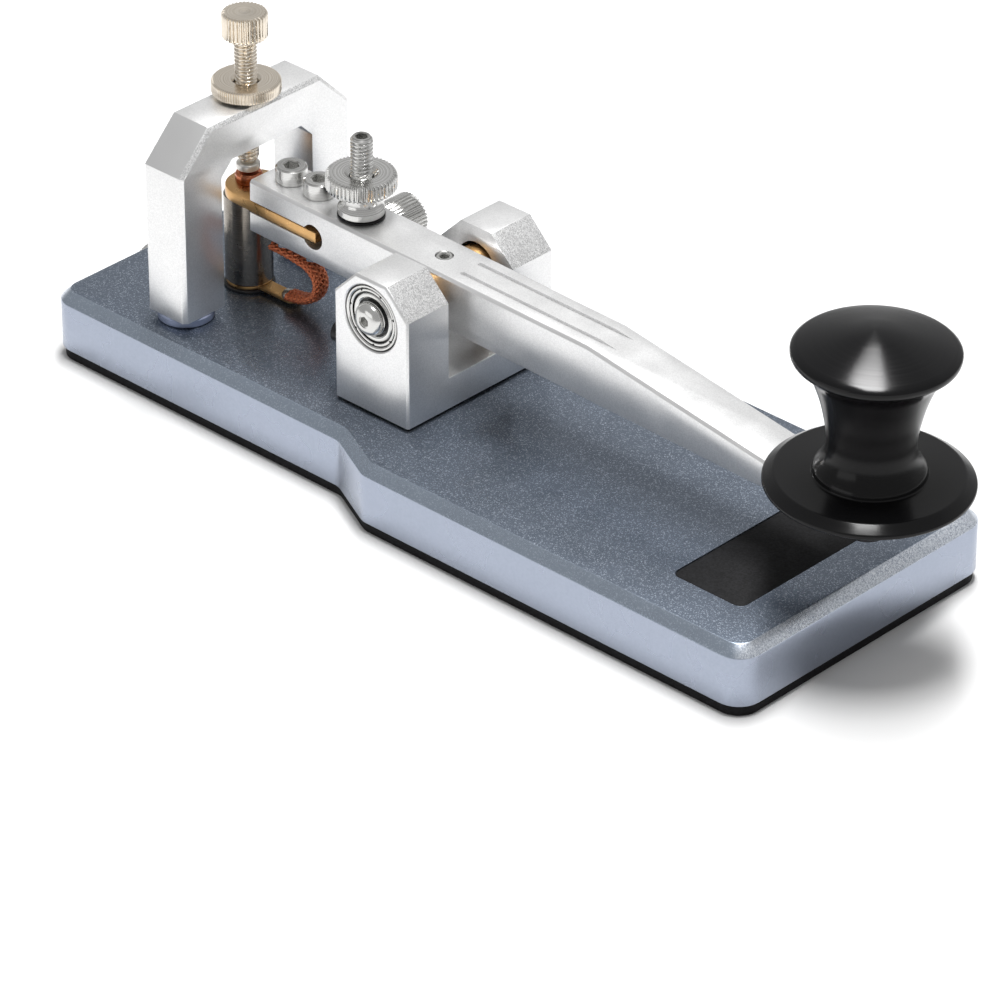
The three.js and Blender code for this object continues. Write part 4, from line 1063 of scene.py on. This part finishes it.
BEAD = Vector((1.9, 1.6, 1.15))
bpy.ops.object.select_all(action="DESELECT")
bpy.ops.mesh.primitive_uv_sphere_add(segments=32, ring_count=20, radius=1, location=at(33.9, -0.1, 1.4),
                                     scale=BEAD * MM)
bead = bpy.context.object
bead.name = "solder_bead"
bpy.ops.object.transform_apply(location=True, rotation=True, scale=True)
saw(bead, at(33.9, 0, 1.22), (0, 0, -1))
finish(bead, "base", "blasted_aluminium")
bead.data.materials[0] = materials["solder"]

# %% [markdown]
# The braid is a flattened tube of fine wires, half of them winding one way and half the other, each
# passing over and under the rest. Each wire here is one curve that follows the braid's path. The curves
# become one mesh. The real braid bends with the lever at its upper end; this mesh stays as it is made.

# %% Copper braid
PATH = [(34.2, 1.9), (36.4, 2.2), (38.6, 2.9), (40.6, 4.3), (41.5, 6.4), (41.1, 8.3), (39.4, 9.6),
        (36.9, 10.1), (33.6, 10.4), (30.6, 10.5)]
BRAID = {"y": -0.6, "half_width": 1.5, "half_thickness": 0.62, "wires": 16, "turns": 2.6, "wire": 0.23,
         "steps": 110, "core": 0.5, "core_steps": 40}


def along_braid(share):
    """The braid's middle and its outward direction at a share of its length."""
    spot = share * (len(PATH) - 1)
    i = min(int(spot), len(PATH) - 2)
    t = spot - i
    p = [Vector(PATH[min(max(i + k, 0), len(PATH) - 1)]) for k in (-1, 0, 1, 2)]
    middle = 0.5 * (2 * p[1] + (p[2] - p[0]) * t + (2 * p[0] - 5 * p[1] + 4 * p[2] - p[3]) * t * t
                    + (3 * p[1] - p[0] - 3 * p[2] + p[3]) * t ** 3)
    ahead = 0.5 * (p[2] - p[0] + 2 * (2 * p[0] - 5 * p[1] + 4 * p[2] - p[3]) * t
                   + 3 * (3 * p[1] - p[0] - 3 * p[2] + p[3]) * t * t)
    out = Vector((-ahead.y, ahead.x)).normalized()
    return middle, out


def wire(curve, point_at, radius, steps):
    spline = curve.splines.new("POLY")
    spline.points.add(steps)
    for n in range(steps + 1):
        spline.points[n].co = (*point_at(n / steps), 1)
        spline.points[n].radius = radius


def woven(start, way):
    def point_at(share):
        middle, out = along_braid(share)
        turn = start + way * share * BRAID["turns"] * 2 * math.pi
        over = 0.1 * math.sin(share * BRAID["turns"] * BRAID["wires"] * math.pi + way * math.pi / 2)
        across = (BRAID["half_width"] + over) * math.cos(turn)
        up = (BRAID["half_thickness"] + over) * math.sin(turn)
        return at(middle.x + out.x * up, BRAID["y"] + across, middle.y + out.y * up)
    return point_at


def core(across):
    def point_at(share):
        middle = along_braid(share)[0]
        return at(middle.x, BRAID["y"] + across, middle.y)
    return point_at


curve = bpy.data.curves.new("braid", "CURVE")
curve.dimensions, curve.bevel_depth, curve.bevel_resolution, curve.use_fill_caps = "3D", MM, 1, True
for n in range(BRAID["wires"]):
    start = 2 * math.pi * (n // 2) / (BRAID["wires"] / 2)
    wire(curve, woven(start, 1 if n % 2 else -1), BRAID["wire"], BRAID["steps"])
for across in (-0.85, 0, 0.85):
    wire(curve, core(across), BRAID["core"], BRAID["core_steps"])
braid = bpy.data.objects.new("braid", curve)
bpy.context.scene.collection.objects.link(braid)
only(braid)
bpy.ops.object.convert(target="MESH")
smooth(braid, 60)
braid.data.materials.clear()
braid.data.materials.append(materials["copper_braid"])
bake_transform(braid)
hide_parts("braid")
print("braid:", len(braid.data.polygons), "faces")

# %% [markdown]
# The jack's thin knurled nut is all of the socket that shows at the rear. Wires and screws from below
# are hidden once the key stands, so the frame's own plain pieces serve there and only take a finish.

# %% Jack socket and the hidden pieces
JACK = at(0, 0, -6)
knurled_piece("jack_nut", JACK, [
    (3.02, -0.05), (4.2, -0.05), (4.4, -0.25), (4.4, -1.35), (4.1, -1.65), (3.2, -1.65), (3.02, -1.5),
    (3.02, -0.05),
], 4.4, 0.12, 44, "base", "bright_steel", "jack_nut", axis="X")
turn_out("jack_socket", JACK, [
    (1.8, -2), (2.7, -2), (3, -1.75), (3, 2.38), (4.2, 2.38), (4.2, 14.4), (0, 14.4), (0, 12.5), (1.8, 12.5),
    (1.8, -2),
], "base", "black_plastic", "jack_socket", axis="X")
sleeves = {"wire_bridge": "black_plastic", "wire_post": "red_sleeve"}
for name in ("bridge_screw_near", "bridge_screw_far", "block_screw_near", "block_screw_far", "post_screw",
             "knob_screw", "wire_bridge", "wire_post"):
    node, slot = frame["nodes"][name], sleeves.get(name, "black_oxide")
    node.data.materials.clear()
    node.data.materials.append(materials[slot])

# %% [markdown]
# The knob is turned from one rod of black resin: a wide flat skirt that keeps the fingers off the
# lever, a rounded collar, a waist that flares upwards, and a shallow cone-like dome with a rolled lip.
# The outline is given by its corners, and each corner is then rounded as a turner rounds it with a file.

# %% Knob
def rounded(corners, radius, steps=5):
    """Replaces each inner corner of a profile with a short curve."""
    out = [corners[0]]
    for before, here, after in zip(corners, corners[1:], corners[2:]):
        a, b, c = Vector(before[:2]), Vector(here[:2]), Vector(after[:2])
        reach = min(here[2] if len(here) > 2 else radius, (a - b).length * 0.48, (c - b).length * 0.48)
        start, stop = b + (a - b).normalized() * reach, b + (c - b).normalized() * reach
        for i in range(steps + 1):
            t = i / steps
            out.append(tuple(start * (1 - t) ** 2 + b * 2 * t * (1 - t) + stop * t * t))
    return out + [corners[-1]]


KNOB = on_lever(KNOB_X, 0, 0)
skirt = [(0, -0.6), (6.2, -0.6), (6.2, 1.8), (16.6, 1.5), (17.1, 1.9), (17.1, 2.5), (15.3, 3.7), (9.3, 3.9)]
waist = [(9.2, 4.9, 1.2), (8, 6.3, 1.6), (7.4, 7.6, 1.6), (7.2, 9.5, 2), (7.5, 12.5, 3), (8.6, 17.5, 3),
         (10.6, 22.5, 3), (12.8, 24.4, 1.5)]
dome = [(13.4, 24.9), (13.6, 25.5), (13.6, 26.1, 0.6), (13, 26.62, 0.8), (11.5, 27.15, 1.4), (9, 27.9, 1.5),
        (6, 28.7, 1.5), (3, 29.42, 1.5), (0, 29.7)]
profile = rounded(skirt + waist + dome, 0.25)
knob = note_lathe(turned("knob", KNOB, profile, sides=128), KNOB)
finish(knob, "lever_assembly", "black_polish", "knob", angle=30)
